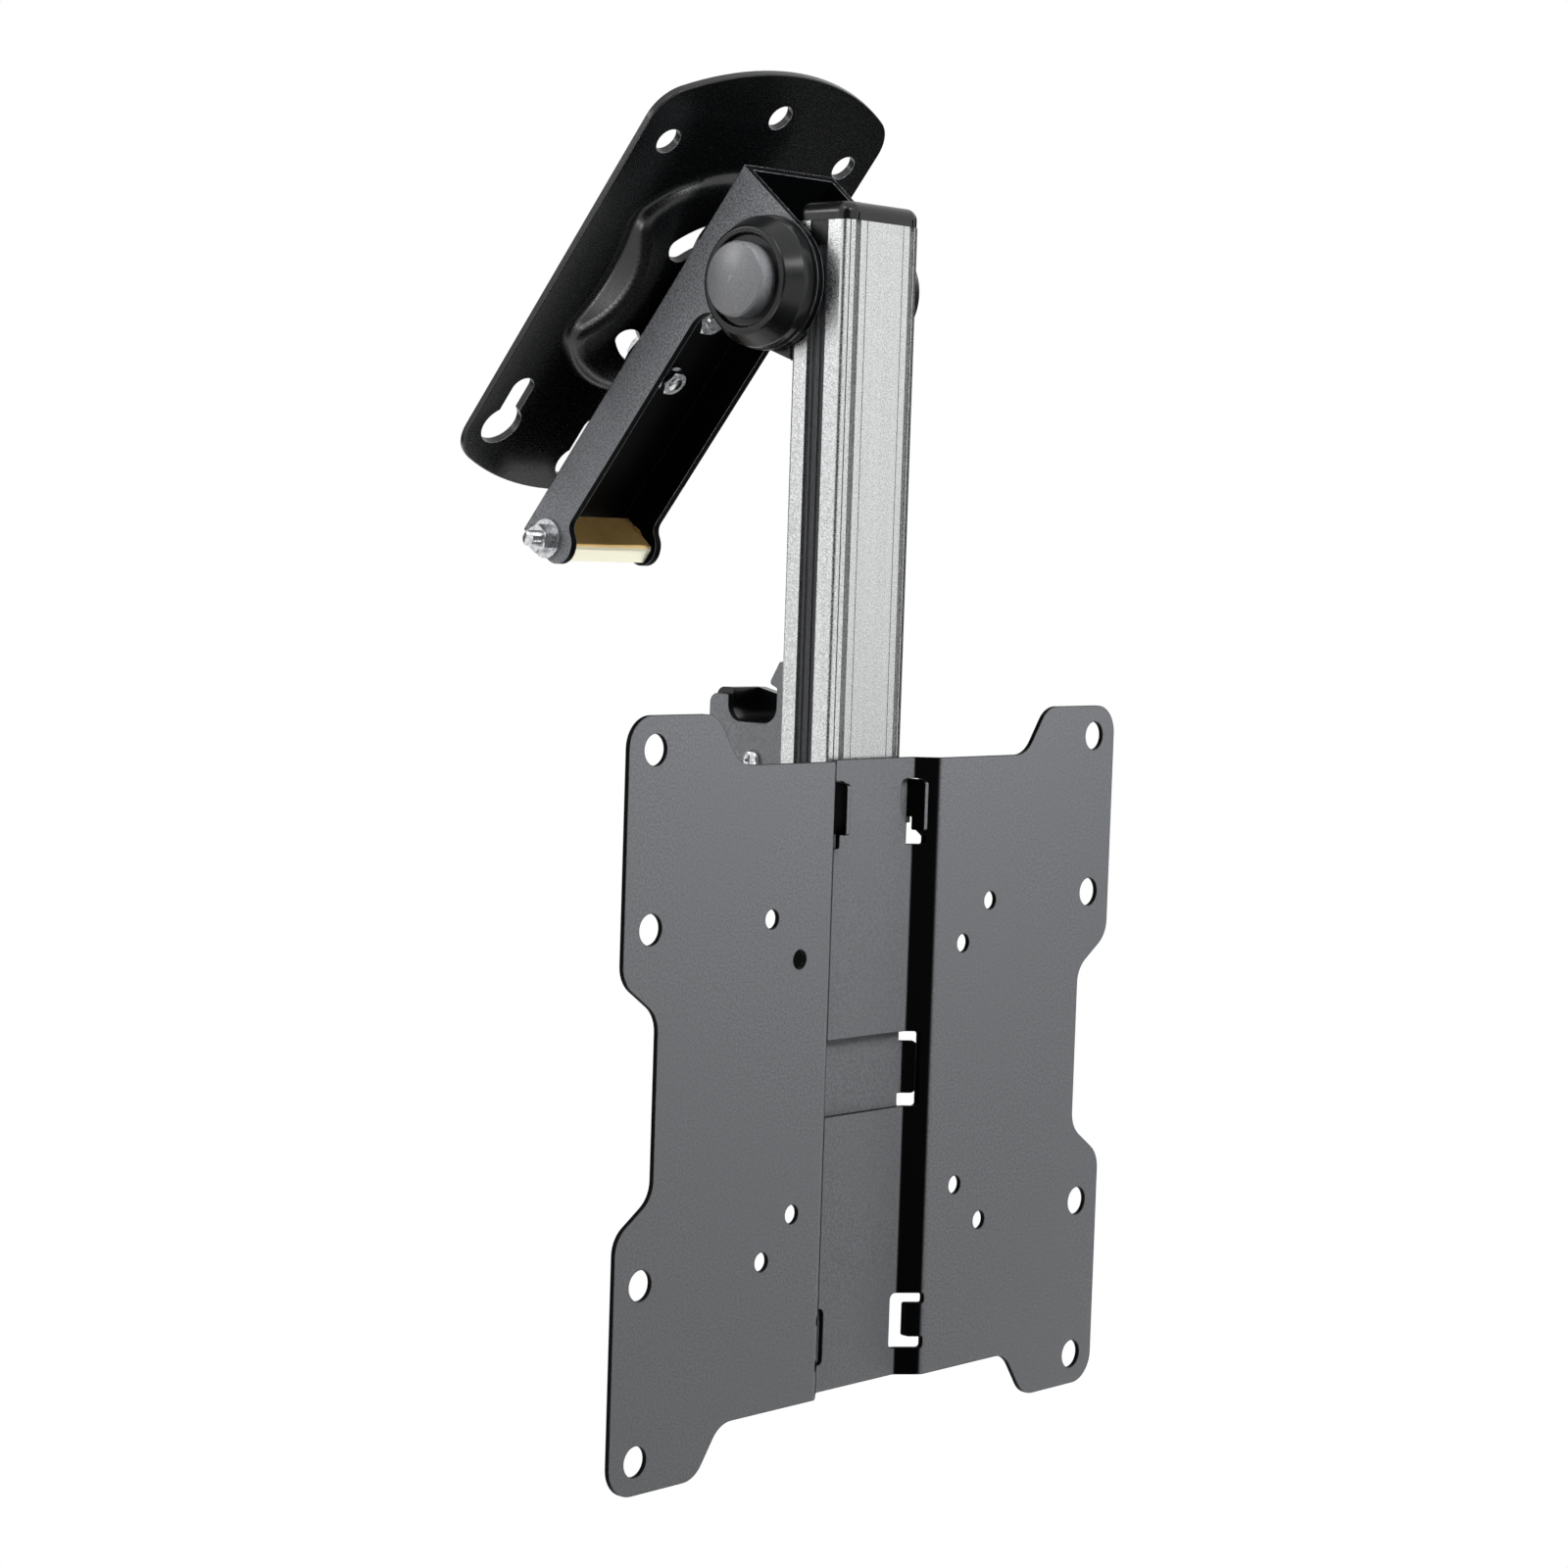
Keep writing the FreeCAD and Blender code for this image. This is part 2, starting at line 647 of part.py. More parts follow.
def make_swivel_pad():
    """A plastic shoe between the arm's web and the dome, hollowed to the dome's curve."""
    half_w = pad_width / 2
    half_l = pad_length / 2
    top = arm_height + half_l
    corners = [(-half_w, swivel_t - half_l, half_w * 0.99), (half_w, swivel_t - half_l, half_w * 0.99),
               (half_w, swivel_t + half_l, half_w * 0.99), (-half_w, swivel_t + half_l, half_w * 0.99)]
    pad = slab(corners, lambda a, b: V(a, b, arm_height), V(0, 0, top - arm_height))
    pad = pad.cut(Part.makeSphere(dish_dome_radius + curve_gap, V(0, swivel_t, dome_centre_n)))
    pad = pad.common(block(-half_w, half_w, swivel_t - half_l, swivel_t + half_l, arm_height, dome_centre_n))
    pad = max(pad.Solids, key=lambda s: -s.CenterOfMass.z)
    pad = pad.cut(rod(swivel_bolt_radius + clear_fit, V(0, swivel_t, arm_height - 1), V(0, swivel_t, top)))
    for t in lock_ts():
        pad = pad.cut(rod(lock_bolt_radius + clear_fit, V(0, t, arm_height - 1), V(0, t, top)))
    return pad


def hollow_level(radius):
    """The level of the dish's hollow side at a distance from the swivel axis."""
    inner = dish_dome_radius - ceiling_sheet
    return dome_centre_n - math.sqrt(inner ** 2 - radius ** 2)


def web_bolt(t, radius, head_radius, head_height, under_head, nut_height, round_head):
    """A bolt through the dish and the web: its head in the hollow, its thread through the nut."""
    end = web_inner_n - web_washer_sheet - nut_height - web_bolt_end
    shank = rod(radius, V(0, t, end), V(0, t, under_head))
    if round_head:
        head = Part.makeCylinder(head_radius, head_height, V(0, t, under_head))
        rim = edges_where(head, lambda e: isinstance(e.Curve, Part.Circle)
                          and e.Curve.Center.z > under_head + head_height / 2)
        head = head.makeFillet(head_height * 0.6, rim)
    else:
        head = hex_bar(head_radius * 2, V(0, t, under_head), V(0, t, under_head + head_height))
    return shank.fuse(head)


def make_swivel_bolt():
    under = hollow_level(swivel_head_radius) + seat_gap
    return web_bolt(swivel_t, swivel_bolt_radius, swivel_head_radius, swivel_head_height, under,
                    swivel_nut_height, True)


def lock_washer_level():
    return hollow_level(arc_slot_radius + lock_washer_radius) + curve_gap


def make_lock_bolts():
    under = lock_washer_level() + washer_sheet
    bolts = [web_bolt(t, lock_bolt_radius, lock_head_radius, lock_head_height, under, web_nut_height, False)
             for t in lock_ts()]
    return Part.makeCompound(bolts)


def make_lock_washers():
    level = lock_washer_level()
    rings = [tube(lock_washer_radius, lock_bolt_radius + clear_fit, V(0, t, level),
                  V(0, t, level + washer_sheet)) for t in lock_ts()]
    return Part.makeCompound(rings)


def make_web_washers():
    """The washers on the web's inner face: one under the swivel nut and two under the lock nuts."""
    low = web_inner_n - web_washer_sheet
    rings = [tube(swivel_washer_radius, swivel_bolt_radius + clear_fit, V(0, swivel_t, low),
                  V(0, swivel_t, web_inner_n))]
    for t in lock_ts():
        rings.append(tube(web_washer_radius, lock_bolt_radius + clear_fit, V(0, t, low),
                          V(0, t, web_inner_n)))
    return Part.makeCompound(rings)


def web_nut(t, flat, height, radius):
    top = web_inner_n - web_washer_sheet
    nut = hex_bar(flat, V(0, t, top - height), V(0, t, top))
    return nut.cut(rod(radius, V(0, t, top - height - 1), V(0, t, top + 1)))


def make_swivel_nut():
    return web_nut(swivel_t, swivel_nut_flat, swivel_nut_height, swivel_bolt_radius)


def make_web_nuts():
    return Part.makeCompound([web_nut(t, web_nut_flat, web_nut_height, lock_bolt_radius) for t in lock_ts()])


# Hinge

def make_hinge_bolt():
    """The bolt across the arm, its head on the left and its thread through the nut on the right."""
    under = arm_side + spring_washer_sheet
    end = under + hinge_nut_height + hinge_bolt_end
    bolt = rod(hinge_bolt_radius, V(-under, 0, 0), V(end, 0, 0))
    return bolt.fuse(hex_bar(hinge_head_flat, V(-under, 0, 0), V(-under - hinge_head_height, 0, 0)))


def make_hinge_nut():
    start = arm_side + spring_washer_sheet
    nut = hex_bar(hinge_head_flat, V(start, 0, 0), V(start + hinge_nut_height, 0, 0))
    return nut.cut(rod(hinge_bolt_radius, V(start - 1, 0, 0), V(start + hinge_nut_height + 1, 0, 0)))


def make_spring_washers():
    """Coned spring washers that keep the hinge tight, one on each flange."""
    inner = hinge_bolt_radius + clear_fit
    rise = spring_washer_sheet * 0.35
    start = arm_side
    end = start + spring_washer_sheet
    seat = inner + spring_washer_seat
    profile = [(start, seat), (start, spring_washer_radius), (end - rise, spring_washer_radius),
               (end, seat), (end, inner), (start + rise, inner)]
    right = turned(profile)
    return Part.makeCompound([right, mirrored(right)])


def make_cover(side):
    """A round cover over the bolt's end: thin foot, straight side, rounded shoulder and a hollow face."""
    base = arm_side
    top = base + cover_height
    face = top - cover_recess
    hole = cap_radius + clear_fit
    body_r = cover_body_radius
    profile = [
        (base, body_r - cover_wall), (base, cover_radius), (base + cover_foot, cover_radius),
        (base + cover_foot, body_r), (base + cover_side, body_r, 2.5),
        (top, cover_rim_radius + cover_rim_width, 1.2), (top, cover_rim_radius - cover_rim_width, 0.4),
        (face, cover_rim_radius - cover_rim_width - 0.5, 0.4), (face, hole),
        (face - cover_wall, hole), (face - cover_wall, body_r - cover_wall - 2, 1.5),
        (base + cover_side - 1, body_r - cover_wall),
    ]
    cover = turned(profile)
    return cover if side > 0 else mirrored(cover)


def make_cap(side):
    """The domed cap in the cover's face, a cup with a lip that holds behind the face."""
    base = arm_side
    under = base + cover_height - cover_recess - cover_wall
    lip_low = under - cap_lip - seat_gap
    lip_top = under - seat_gap
    lip_r = cap_radius + 1.1
    inner = cap_radius - cap_wall
    edge = base + cap_edge
    apex = base + cap_height
    low_edges = [V(lip_low, inner, 0), V(lip_low, lip_r, 0), V(lip_top, lip_r, 0), V(lip_top, cap_radius, 0),
                 V(edge - 0.6, cap_radius, 0), V(edge, cap_radius - 0.6, 0)]
    edges = []
    for a, b in zip(low_edges, low_edges[1:]):
        edges.append(Part.LineSegment(a, b).toShape())
    chord = cap_radius - 0.6
    rise = apex - edge
    dome_r = (chord ** 2 + rise ** 2) / (2 * rise)
    mid = V(apex - dome_r + math.sqrt(dome_r ** 2 - (chord / 2) ** 2), chord / 2, 0)
    edges.append(Part.Arc(V(edge, chord, 0), mid, V(apex, 0, 0)).toShape())
    ceiling = edge - cap_wall
    edges.append(Part.LineSegment(V(apex, 0, 0), V(ceiling, 0, 0)).toShape())
    edges.append(Part.LineSegment(V(ceiling, 0, 0), V(ceiling, inner, 0)).toShape())
    edges.append(Part.LineSegment(V(ceiling, inner, 0), V(lip_low, inner, 0)).toShape())
    cap = Part.Face(Part.Wire(edges)).revolve(V(0, 0, 0), V(1, 0, 0), 360)
    return cap if side > 0 else mirrored(cap)


def make_friction_washers():
    """Plastic washers between the arm's flanges and the pole bracket's cheeks."""
    start = arm_inner - friction_washer_sheet
    ring = tube(friction_washer_radius, hinge_bolt_radius + clear_fit, V(start, 0, 0), V(arm_inner, 0, 0))
    return Part.makeCompound([ring, mirrored(ring)])


# Pole

def pole_half():
    """The right half of the pole's outer line, front to back, as corners with rounds."""
    panel = pole_panel_width / 2
    slot_front = slot_mid_y - side_slot_width / 2
    slot_back = slot_mid_y + side_slot_width / 2
    slot_floor = pole_side - side_slot_depth
    groove_floor = pole_front + pole_groove_depth
    return [
        (panel, pole_front, pole_groove_round), (panel, groove_floor), (pole_strip_x, groove_floor),
        (pole_strip_x, pole_front, pole_groove_round), (pole_side, shoulder_y, pole_shoulder_radius),
        (pole_side, slot_front), (slot_floor, slot_front), (slot_floor, slot_back), (pole_side, slot_back),
        (pole_side, pole_back, pole_corner_radius), (pole_strip_x, pole_back),
        (pole_strip_x, pole_back - pole_groove_depth), (panel, pole_back - pole_groove_depth),
        (panel, pole_back),
    ]


def mirrored_outline(half):
    """A closed outline from its right half, by mirroring the corners about the middle."""
    left = [(-c[0],) + tuple(c[1:]) for c in reversed(half)]
    return half + left


def pole_core(gap):
    """The pole's inner hollow, smaller by gap on each side."""
    half = pole_side - side_slot_depth - pole_wall - gap
    front = pole_front + pole_groove_depth + pole_wall + gap
    back = pole_back - pole_wall - gap
    return [(-half, front, pole_core_round), (half, front, pole_core_round),
            (half, back, pole_core_round), (-half, back, pole_core_round)]


def fine_line(x, y):
    """A fine groove along the pole's front, at x, cut into the face at y."""
    half = pole_line_width / 2
    return block(x - half, x + half, y - 1, y + pole_line_depth, pole_bottom - 1, pole_top + 1)


def make_pole():
    def level(a, b):
        return V(a, b, pole_bottom)

    pole = slab(mirrored_outline(pole_half()), level, V(0, 0, pole_length))
    pole = pole.cut(slab(pole_core(0), level, V(0, 0, pole_length)))
    panel_line = pole_panel_width / 2 - pole_line_inset
    strip_line = pole_strip_x + pole_strip_line
    strip_line_y = pole_front + pole_shoulder * pole_strip_line / (pole_side - pole_strip_x)
    for sign in (1, -1):
        pole = pole.cut(fine_line(sign * panel_line, pole_front))
        pole = pole.cut(fine_line(sign * strip_line, strip_line_y))
    for hole in bracket_screw_holes() + latch_screw_holes() + carrier_screw_holes():
        pole = pole.cut(hole)
    return pole


def screw_hole(point, direction, length):
    """The threaded hole that a screw fills, as deep as the screw and its clearance."""
    far = V(point).add(V(direction).multiply(length))
    return rod(screw_radius, V(point), far)


def bracket_screw_holes():
    face = V(0, pole_back, 0)
    points = [V(0, face.y, bracket_screw_top), V(0, face.y, -bracket_screw_low)]
    return [screw_hole(p, V(0, -1, 0), pole_wall) for p in points]


def latch_screw_zs():
    return (plate_z + latch_web_low + latch_web_screw_inset, plate_z + latch_web_high - latch_web_screw_inset)


def latch_screw_holes():
    return [screw_hole(V(0, pole_back, z), V(0, -1, 0), pole_wall) for z in latch_screw_zs()]


def carrier_rail_y():
    """The middle of the pole's side between its front edge and the side slot."""
    return (shoulder_y + slot_mid_y - side_slot_width / 2) / 2


def carrier_screw_zs():
    return (plate_z + carrier_screw_high, plate_z + carrier_screw_low)


def carrier_screw_holes():
    """Side screws of the carrier go into the pole's front rails, one pair at each height."""
    holes = []
    for z in carrier_screw_zs():
        for sign in (1, -1):
            start = V(sign * pole_side, carrier_rail_y(), z)
            holes.append(screw_hole(start, V(-sign, 0, 0), side_slot_depth - 1))
    return holes


def make_slot_insert(side):
    """A ribbed plastic strip pressed into the pole's side slot, a little below its face."""
    mid_y = slot_mid_y
    half = side_slot_width / 2 - insert_gap
    floor = pole_side - side_slot_depth + insert_gap
    face = pole_side - insert_recess
    valley = face - insert_rib_depth
    step = 2 * half / (2 * insert_rib_count - 1)
    corners = [(floor, mid_y - half)]
    y = mid_y - half
    for i in range(insert_rib_count):
        corners += [(face, y), (face, y + step)]
        if i < insert_rib_count - 1:
            corners += [(valley, y + step), (valley, y + 2 * step)]
        y += 2 * step
    corners += [(floor, mid_y + half)]
    low = pole_bottom
    strip = slab(corners, lambda a, b: V(a, b, low), V(0, 0, pole_length - cap_tongue - insert_gap))
    return strip if side > 0 else mirrored(strip)


def cap_body(level, rise, rim_level, rim_round):
    """A cap with the pole's outline; its face at rim_level has its edges rounded."""
    corner = max(pole_corner_radius, rim_round) + cap_corner_extra
    half = [(pole_strip_x, pole_front, corner), (pole_side, shoulder_y, corner),
            (pole_side, pole_back, corner)]
    shape = slab(mirrored_outline(half), lambda a, b: V(a, b, level), V(0, 0, rise))
    rims = edges_where(shape, lambda e: abs(e.BoundBox.ZMax - rim_level) < 1e-6
                       and abs(e.BoundBox.ZMin - rim_level) < 1e-6)
    return shape.makeFillet(rim_round, rims)


def cap_tongues(low, high):
    """Tongues that reach from a cap into the pole's side slots."""
    mid_y = slot_mid_y
    half = side_slot_width / 2 - insert_gap
    inner = pole_side - side_slot_depth + insert_gap
    right = block(inner, pole_side - insert_recess * 0.4, mid_y - half, mid_y + half, low, high)
    return right.fuse(mirrored(right))


def make_top_cap():
    cap = cap_body(pole_top, cap_rise, pole_top + cap_rise, cap_round)
    line_x = pole_strip_x - pole_groove_width / 2
    line = block(line_x - cap_line_width / 2, line_x + cap_line_width / 2, pole_front - 1,
                 pole_front + cap_line_depth, pole_top - 1, pole_top + cap_line_height)
    cap = cap.cut(line).cut(mirrored(line))
    cap = cap.fuse(cap_tongues(pole_top - cap_tongue, pole_top))
    plug = slab(pole_core(insert_gap), lambda a, b: V(a, b, pole_top - cap_plug), V(0, 0, cap_plug))
    return cap.fuse(plug).removeSplitter()


def make_bottom_cap():
    low = pole_bottom - bottom_cap_rise
    cap = cap_body(low, bottom_cap_rise, low, bottom_cap_round)
    plug = slab(pole_core(insert_gap), lambda a, b: V(a, b, pole_bottom), V(0, 0, cap_plug))
    return cap.fuse(plug).removeSplitter()


def tangent_point(px, py, radius, side):
    """Where a line from the point (px, py) touches a circle about the origin."""
    distance = math.hypot(px, py)
    angle = math.atan2(py, px) + side * math.acos(radius / distance)
    return radius * math.cos(angle), radius * math.sin(angle)


def make_hinge_bracket():
    """A U bracket on the pole's back whose two round cheeks turn on the hinge bolt."""
    radius = bracket_lobe_radius
    foot = (pole_back, -bracket_foot)
    touch = tangent_point(foot[0], foot[1], radius, 1)
    top_z = math.sqrt(radius ** 2 - pole_back ** 2)
    side = bracket_side - bracket_sheet

    def at(y, z):
        return V(side, y, z)

    edges = [
        Part.LineSegment(at(pole_back, top_z), at(*foot)).toShape(),
        Part.LineSegment(at(*foot), at(*touch)).toShape(),
        Part.Arc(at(*touch), at(radius, 0), at(pole_back, top_z)).toShape(),
    ]
    cheek = Part.Face(Part.Wire(edges)).extrude(V(bracket_sheet, 0, 0))
    web = block(-side - 0.5, side + 0.5, pole_back, pole_back + bracket_web_sheet, -bracket_foot, top_z)
    bracket = cheek.fuse(mirrored(cheek)).fuse(web).removeSplitter()
    bends = edges_where(bracket, lambda e: isinstance(e.Curve, Part.Line)
                        and abs(e.BoundBox.XMax - e.BoundBox.XMin) < 1e-6
                        and abs(e.BoundBox.YMax - pole_back) < 1e-6
                        and abs(e.BoundBox.YMin - pole_back) < 1e-6
                        and abs(abs(e.BoundBox.XMax) - bracket_side) < 1e-6)
    bracket = bracket.makeFillet(min(1.5, bracket_sheet * 0.6), bends)
    bore = hinge_bolt_radius + running_gap
    bracket = bracket.cut(rod(bore, V(-bracket_side - 1, 0, 0), V(bracket_side + 1, 0, 0)))
    for z in (bracket_screw_top, -bracket_screw_low):
        bracket = bracket.cut(rod(screw_radius + clear_fit, V(0, pole_back - 1, z),
                                  V(0, pole_back + bracket_web_sheet + 1, z)))
    return bracket


def make_bracket_screws():
    face = pole_back + bracket_web_sheet
    length = bracket_web_sheet + pole_wall - 0.1
    return Part.makeCompound([pan_screw(V(0, face, z), V(0, 1, 0), screw_head_radius, screw_head_height,
                                        screw_radius, length)
                              for z in (bracket_screw_top, -bracket_screw_low)])


# Screen plate

def plate_quarter():
    """The plate's outline in its upper right quarter, from the right side up to the top middle."""
    return [
        (plate_side_half_width, side_notch_inner, notch_round),
        (plate_half_width, side_notch_outer, notch_round),
        (plate_half_width, plate_half_height, plate_corner_radius),
        (top_notch_outer, plate_half_height, notch_round),
        (top_notch_inner, plate_mid_half_height, notch_round),
    ]


def plate_outline():
    quarter = plate_quarter()
    upper_left = [(-c[0], c[1], c[2]) for c in reversed(quarter)]
    upper = quarter + upper_left
    lower = [(c[0], -c[1], c[2]) for c in reversed(upper)]
    return upper + lower


def folded_section():
    """The plate's cross-section: two wings, two slanted walls and the web set back between them."""
    half = plate_sheet / 2
    front_web = plate_web_depth - half
    back_web = plate_web_depth + half
    slope = math.atan2(plate_web_depth, plate_fold_half_width - plate_web_half_width)
    shift = plate_sheet * math.tan(slope / 2)
    outer_r = plate_bend_radius + plate_sheet
    edge = plate_half_width + 1
    front_fold = plate_fold_half_width
    front_base = plate_web_half_width
    right_front = [(edge, -half), (front_fold, -half, outer_r), (front_base, front_web, plate_bend_radius)]
    left_front = [(-c[0],) + tuple(c[1:]) for c in reversed(right_front)]
    right_back = [(front_base + shift, back_web, outer_r), (front_fold + shift, half, plate_bend_radius),
                  (edge, half)]
    left_back = [(-c[0],) + tuple(c[1:]) for c in reversed(right_back)]
    return right_front + left_front + left_back + right_back


def in_plate(a, b):
    """A point of the plate's outline, in front of the plate in the pole frame."""
    return V(a, wing_y - plate_web_depth, plate_z + b)


def through_plate(corners):
    """A cutter that passes through the whole plate from front to back."""
    return slab(corners, in_plate, V(0, 3 * plate_web_depth, 0))


def plate_hole(x, z, radius):
    start = V(x, wing_y - plate_web_depth, plate_z + z)
    return rod(radius, start, V(x, wing_y + 2 * plate_web_depth, plate_z + z))


def hook_slot_cutter():
    """The right upper slot: a wide pocket for the hook, a neck, and a narrow foot."""
    shoulder = hook_slot_outer - 2.0
    return through_plate([
        (hook_slot_inner, hook_slot_low + 3, 1.0), (hook_slot_inner, hook_slot_high, 2.4),
        (hook_slot_outer, hook_slot_high, 2.4), (hook_slot_outer, hook_slot_low, 1.0),
        (shoulder, hook_neck_mid, 1.0), (hook_slot_outer - 0.3, hook_neck_low + 2.4, 0.6),
        (hook_slot_outer - 0.3, hook_neck_low, 0.6), (hook_neck_inner, hook_neck_low, 0.6),
        (hook_neck_inner, hook_neck_mid + 1.5, 1.0),
    ])


def low_slot_cutter():
    """The right lower slot, a C round a tongue that stays on the wall side."""
    return through_plate([
        (low_slot_inner, -low_slot_bottom, 1.5), (low_slot_inner, -low_slot_top, 2.0),
        (low_slot_outer, -low_slot_top, 1.0), (low_slot_outer, -low_tongue_top, 0.6),
        (low_tongue_inner, -low_tongue_top, 0.6), (low_tongue_inner, -low_tongue_bottom, 0.8),
        (low_slot_outer, -low_tongue_bottom, 0.6), (low_slot_outer, -low_slot_bottom, 1.0),
    ])


def make_screen_plate():
    def section_plane(a, b):
        return V(a, wing_y + b, plate_z - plate_half_height - 1)

    tall = 2 * plate_half_height + 2
    plate = slab(folded_section(), section_plane, V(0, 0, tall))
    plate = plate.common(through_plate(plate_outline()))
    for z in (vesa_far, vesa_half):
        for sx in (1, -1):
            for sz in (1, -1):
                plate = plate.cut(plate_hole(sx * vesa_far, sz * z, vesa_far_radius))
    for place in (vesa_half, vesa_near):
        for sx in (1, -1):
            for sz in (1, -1):
                plate = plate.cut(plate_hole(sx * place, sz * place, vesa_near_radius))
    window = [(-window_half_width, -window_low, 1.0), (window_half_width, -window_low, 1.0),
              (window_half_width, window_high, 1.0), (-window_half_width, window_high, 1.0)]
    plate = plate.cut(through_plate(window))
    for cutter in (hook_slot_cutter(), low_slot_cutter()):
        plate = plate.cut(cutter)
        plate = plate.cut(mirrored(cutter))
    return plate


# Carrier

def make_carrier():
    """A folded channel round the pole, with two hooks and two ears for the screen plate."""
    front = web_back_y
    back = front + carrier_wall_depth
    low = plate_z - carrier_bottom
    height = carrier_top + carrier_bottom
    inner_bend = carrier_bend_radius
    outer_bend = carrier_bend_radius + carrier_sheet
    outer = [(-carrier_outer, back), (-carrier_outer, front, outer_bend), (carrier_outer, front, outer_bend),
             (carrier_outer, back)]
    inner = [(-carrier_inner, back + 1), (-carrier_inner, front + carrier_sheet, inner_bend),
             (carrier_inner, front + carrier_sheet, inner_bend), (carrier_inner, back + 1)]

    def level(a, b):
        return V(a, b, low)

    channel = slab(outer, level, V(0, 0, height)).cut(slab(inner, level, V(0, 0, height)))
    relief = carrier_ear_half_height + carrier_ear_relief
    near = carrier_outer - outer_bend + carrier_relief_reach
    notch = block(near, carrier_outer + 1, front - 1, front + carrier_relief_depth, plate_z - relief,
                  plate_z + relief)
    channel = channel.cut(notch).cut(mirrored(notch))
    half = carrier_tongue_half_width
    tongue = block(-half, half, front, front + carrier_sheet, plate_z - carrier_tongue_low, low + 1)
    rims = edges_where(tongue, lambda e: e.BoundBox.ZMax < low and e.BoundBox.YLength > carrier_sheet * 0.9)
    channel = channel.fuse(tongue.makeFillet(carrier_ear_round, rims))
    channel = channel.fuse(carrier_ear()).fuse(mirrored(carrier_ear()))
    channel = channel.fuse(carrier_hook()).fuse(mirrored(carrier_hook())).removeSplitter()
    for z in carrier_screw_zs():
        y = carrier_rail_y()
        channel = channel.cut(rod(screw_radius + clear_fit, V(-carrier_outer - 1, y, z),
                                  V(carrier_outer + 1, y, z)))
    return channel


def carrier_ear():
    """The right ear: flat behind the plate's web, its end bent forward along the slanted wall."""
    slope = math.atan2(plate_web_depth, plate_fold_half_width - plate_web_half_width)
    front = web_back_y
    back = front + carrier_sheet
    turn = plate_web_half_width + plate_sheet * math.tan(slope / 2) + carrier_ear_gap / math.sin(slope)
    out_x = math.cos(slope) * carrier_ear_end
    out_y = math.sin(slope) * carrier_ear_end
    across_x = math.sin(slope) * carrier_sheet
    across_y = math.cos(slope) * carrier_sheet
    back_turn = turn + carrier_sheet * math.tan(slope / 2)
    corners = [
        (0, front), (turn, front), (turn + out_x, front - out_y),
        (turn + out_x + across_x, front - out_y + across_y), (back_turn, back), (0, back),
    ]
    low = plate_z - carrier_ear_half_height
    ear = slab(corners, lambda a, b: V(a, b, low), V(0, 0, 2 * carrier_ear_half_height))
    tips = edges_where(ear, lambda e: e.BoundBox.XMin > turn + out_x - 0.01 and e.BoundBox.ZLength < 0.01)
    return ear.makeFillet(carrier_ear_round, tips)


def carrier_hook():
    """The right hook: the side wall runs forward through the slot and turns down over the web."""
    front = web_back_y
    tip = front - hook_reach
    throat_front = front - plate_sheet - hook_throat / 4
    base = front + carrier_sheet + carrier_bend_radius + 2
    corners = [
        (base, hook_bottom), (base, hook_top), (tip, hook_top, 1.5), (tip, hook_bottom - hook_drop, 0.8),
        (throat_front, hook_bottom - hook_drop, 0.6), (throat_front, hook_slot_low + 0.3, 0.4),
        (front - 0.1, hook_slot_low + 0.3), (front - 0.1, hook_bottom),
    ]
    return slab(corners, lambda a, b: V(carrier_inner, a, plate_z + b), V(carrier_sheet, 0, 0))


def make_carrier_screws():
    length = carrier_sheet + carrier_gap + side_slot_depth - 1.2
    screws = []
    for z in carrier_screw_zs():
        for sign in (1, -1):
            place = V(sign * carrier_outer, carrier_rail_y(), z)
            screws.append(pan_screw(place, V(sign, 0, 0), carrier_screw_head, screw_head_height, screw_radius,
                                    length))
    return Part.makeCompound(screws)


# Latch bracket

def in_latch(a, b):
    """A point of the latch's side outline: depth behind the pole's back, height on the screen plate."""
    return V(latch_width / 2 - latch_sheet, pole_back + a, plate_z + b)


def latch_cheek():
    """The right cheek of the latch bracket: barb, notch and outer arm."""
    corners = [
        (0, latch_foot), (0, latch_top, 0.6), (latch_barb_depth, latch_top, 1.2),
        (latch_tip_depth, latch_tip, 1.0), (latch_front_wall, latch_undercut, 0.6),
        (latch_front_wall, latch_notch_floor, latch_notch_round),
        (latch_back_wall, latch_notch_floor, latch_notch_round), (latch_back_wall, latch_arm_top, 0.5),
        (latch_depth, latch_arm_top, latch_arm_round), (latch_depth, latch_screw_height, latch_back_round),
        (latch_screw_depth, latch_foot, latch_foot_round),
    ]
    return slab(corners, in_latch, V(latch_sheet, 0, 0))


def make_latch_bracket():
    """A folded bracket: two cheeks joined by a web that is screwed to the pole's back."""
    cheek = latch_cheek()
    inner = latch_width / 2 - latch_sheet
    web = block(-inner - 0.5, inner + 0.5, pole_back, pole_back + latch_sheet, plate_z + latch_web_low,
                plate_z + latch_web_high)
    bracket = cheek.fuse(mirrored(cheek)).fuse(web).removeSplitter()
    for z in latch_screw_zs():
        bracket = bracket.cut(rod(screw_radius + clear_fit, V(0, pole_back - 1, z),
                                  V(0, pole_back + latch_sheet + 1, z)))
    side = latch_width / 2 + 1
    y = pole_back + latch_screw_depth
    z = plate_z + latch_screw_height
    return bracket.cut(rod(screw_radius + clear_fit, V(-side, y, z), V(side, y, z)))


def make_latch_screws():
    face = pole_back + latch_sheet
    length = latch_sheet + pole_wall - 0.1
    return Part.makeCompound([pan_screw(V(0, face, z), V(0, 1, 0), latch_screw_head, screw_head_height,
                                        screw_radius, length) for z in latch_screw_zs()])


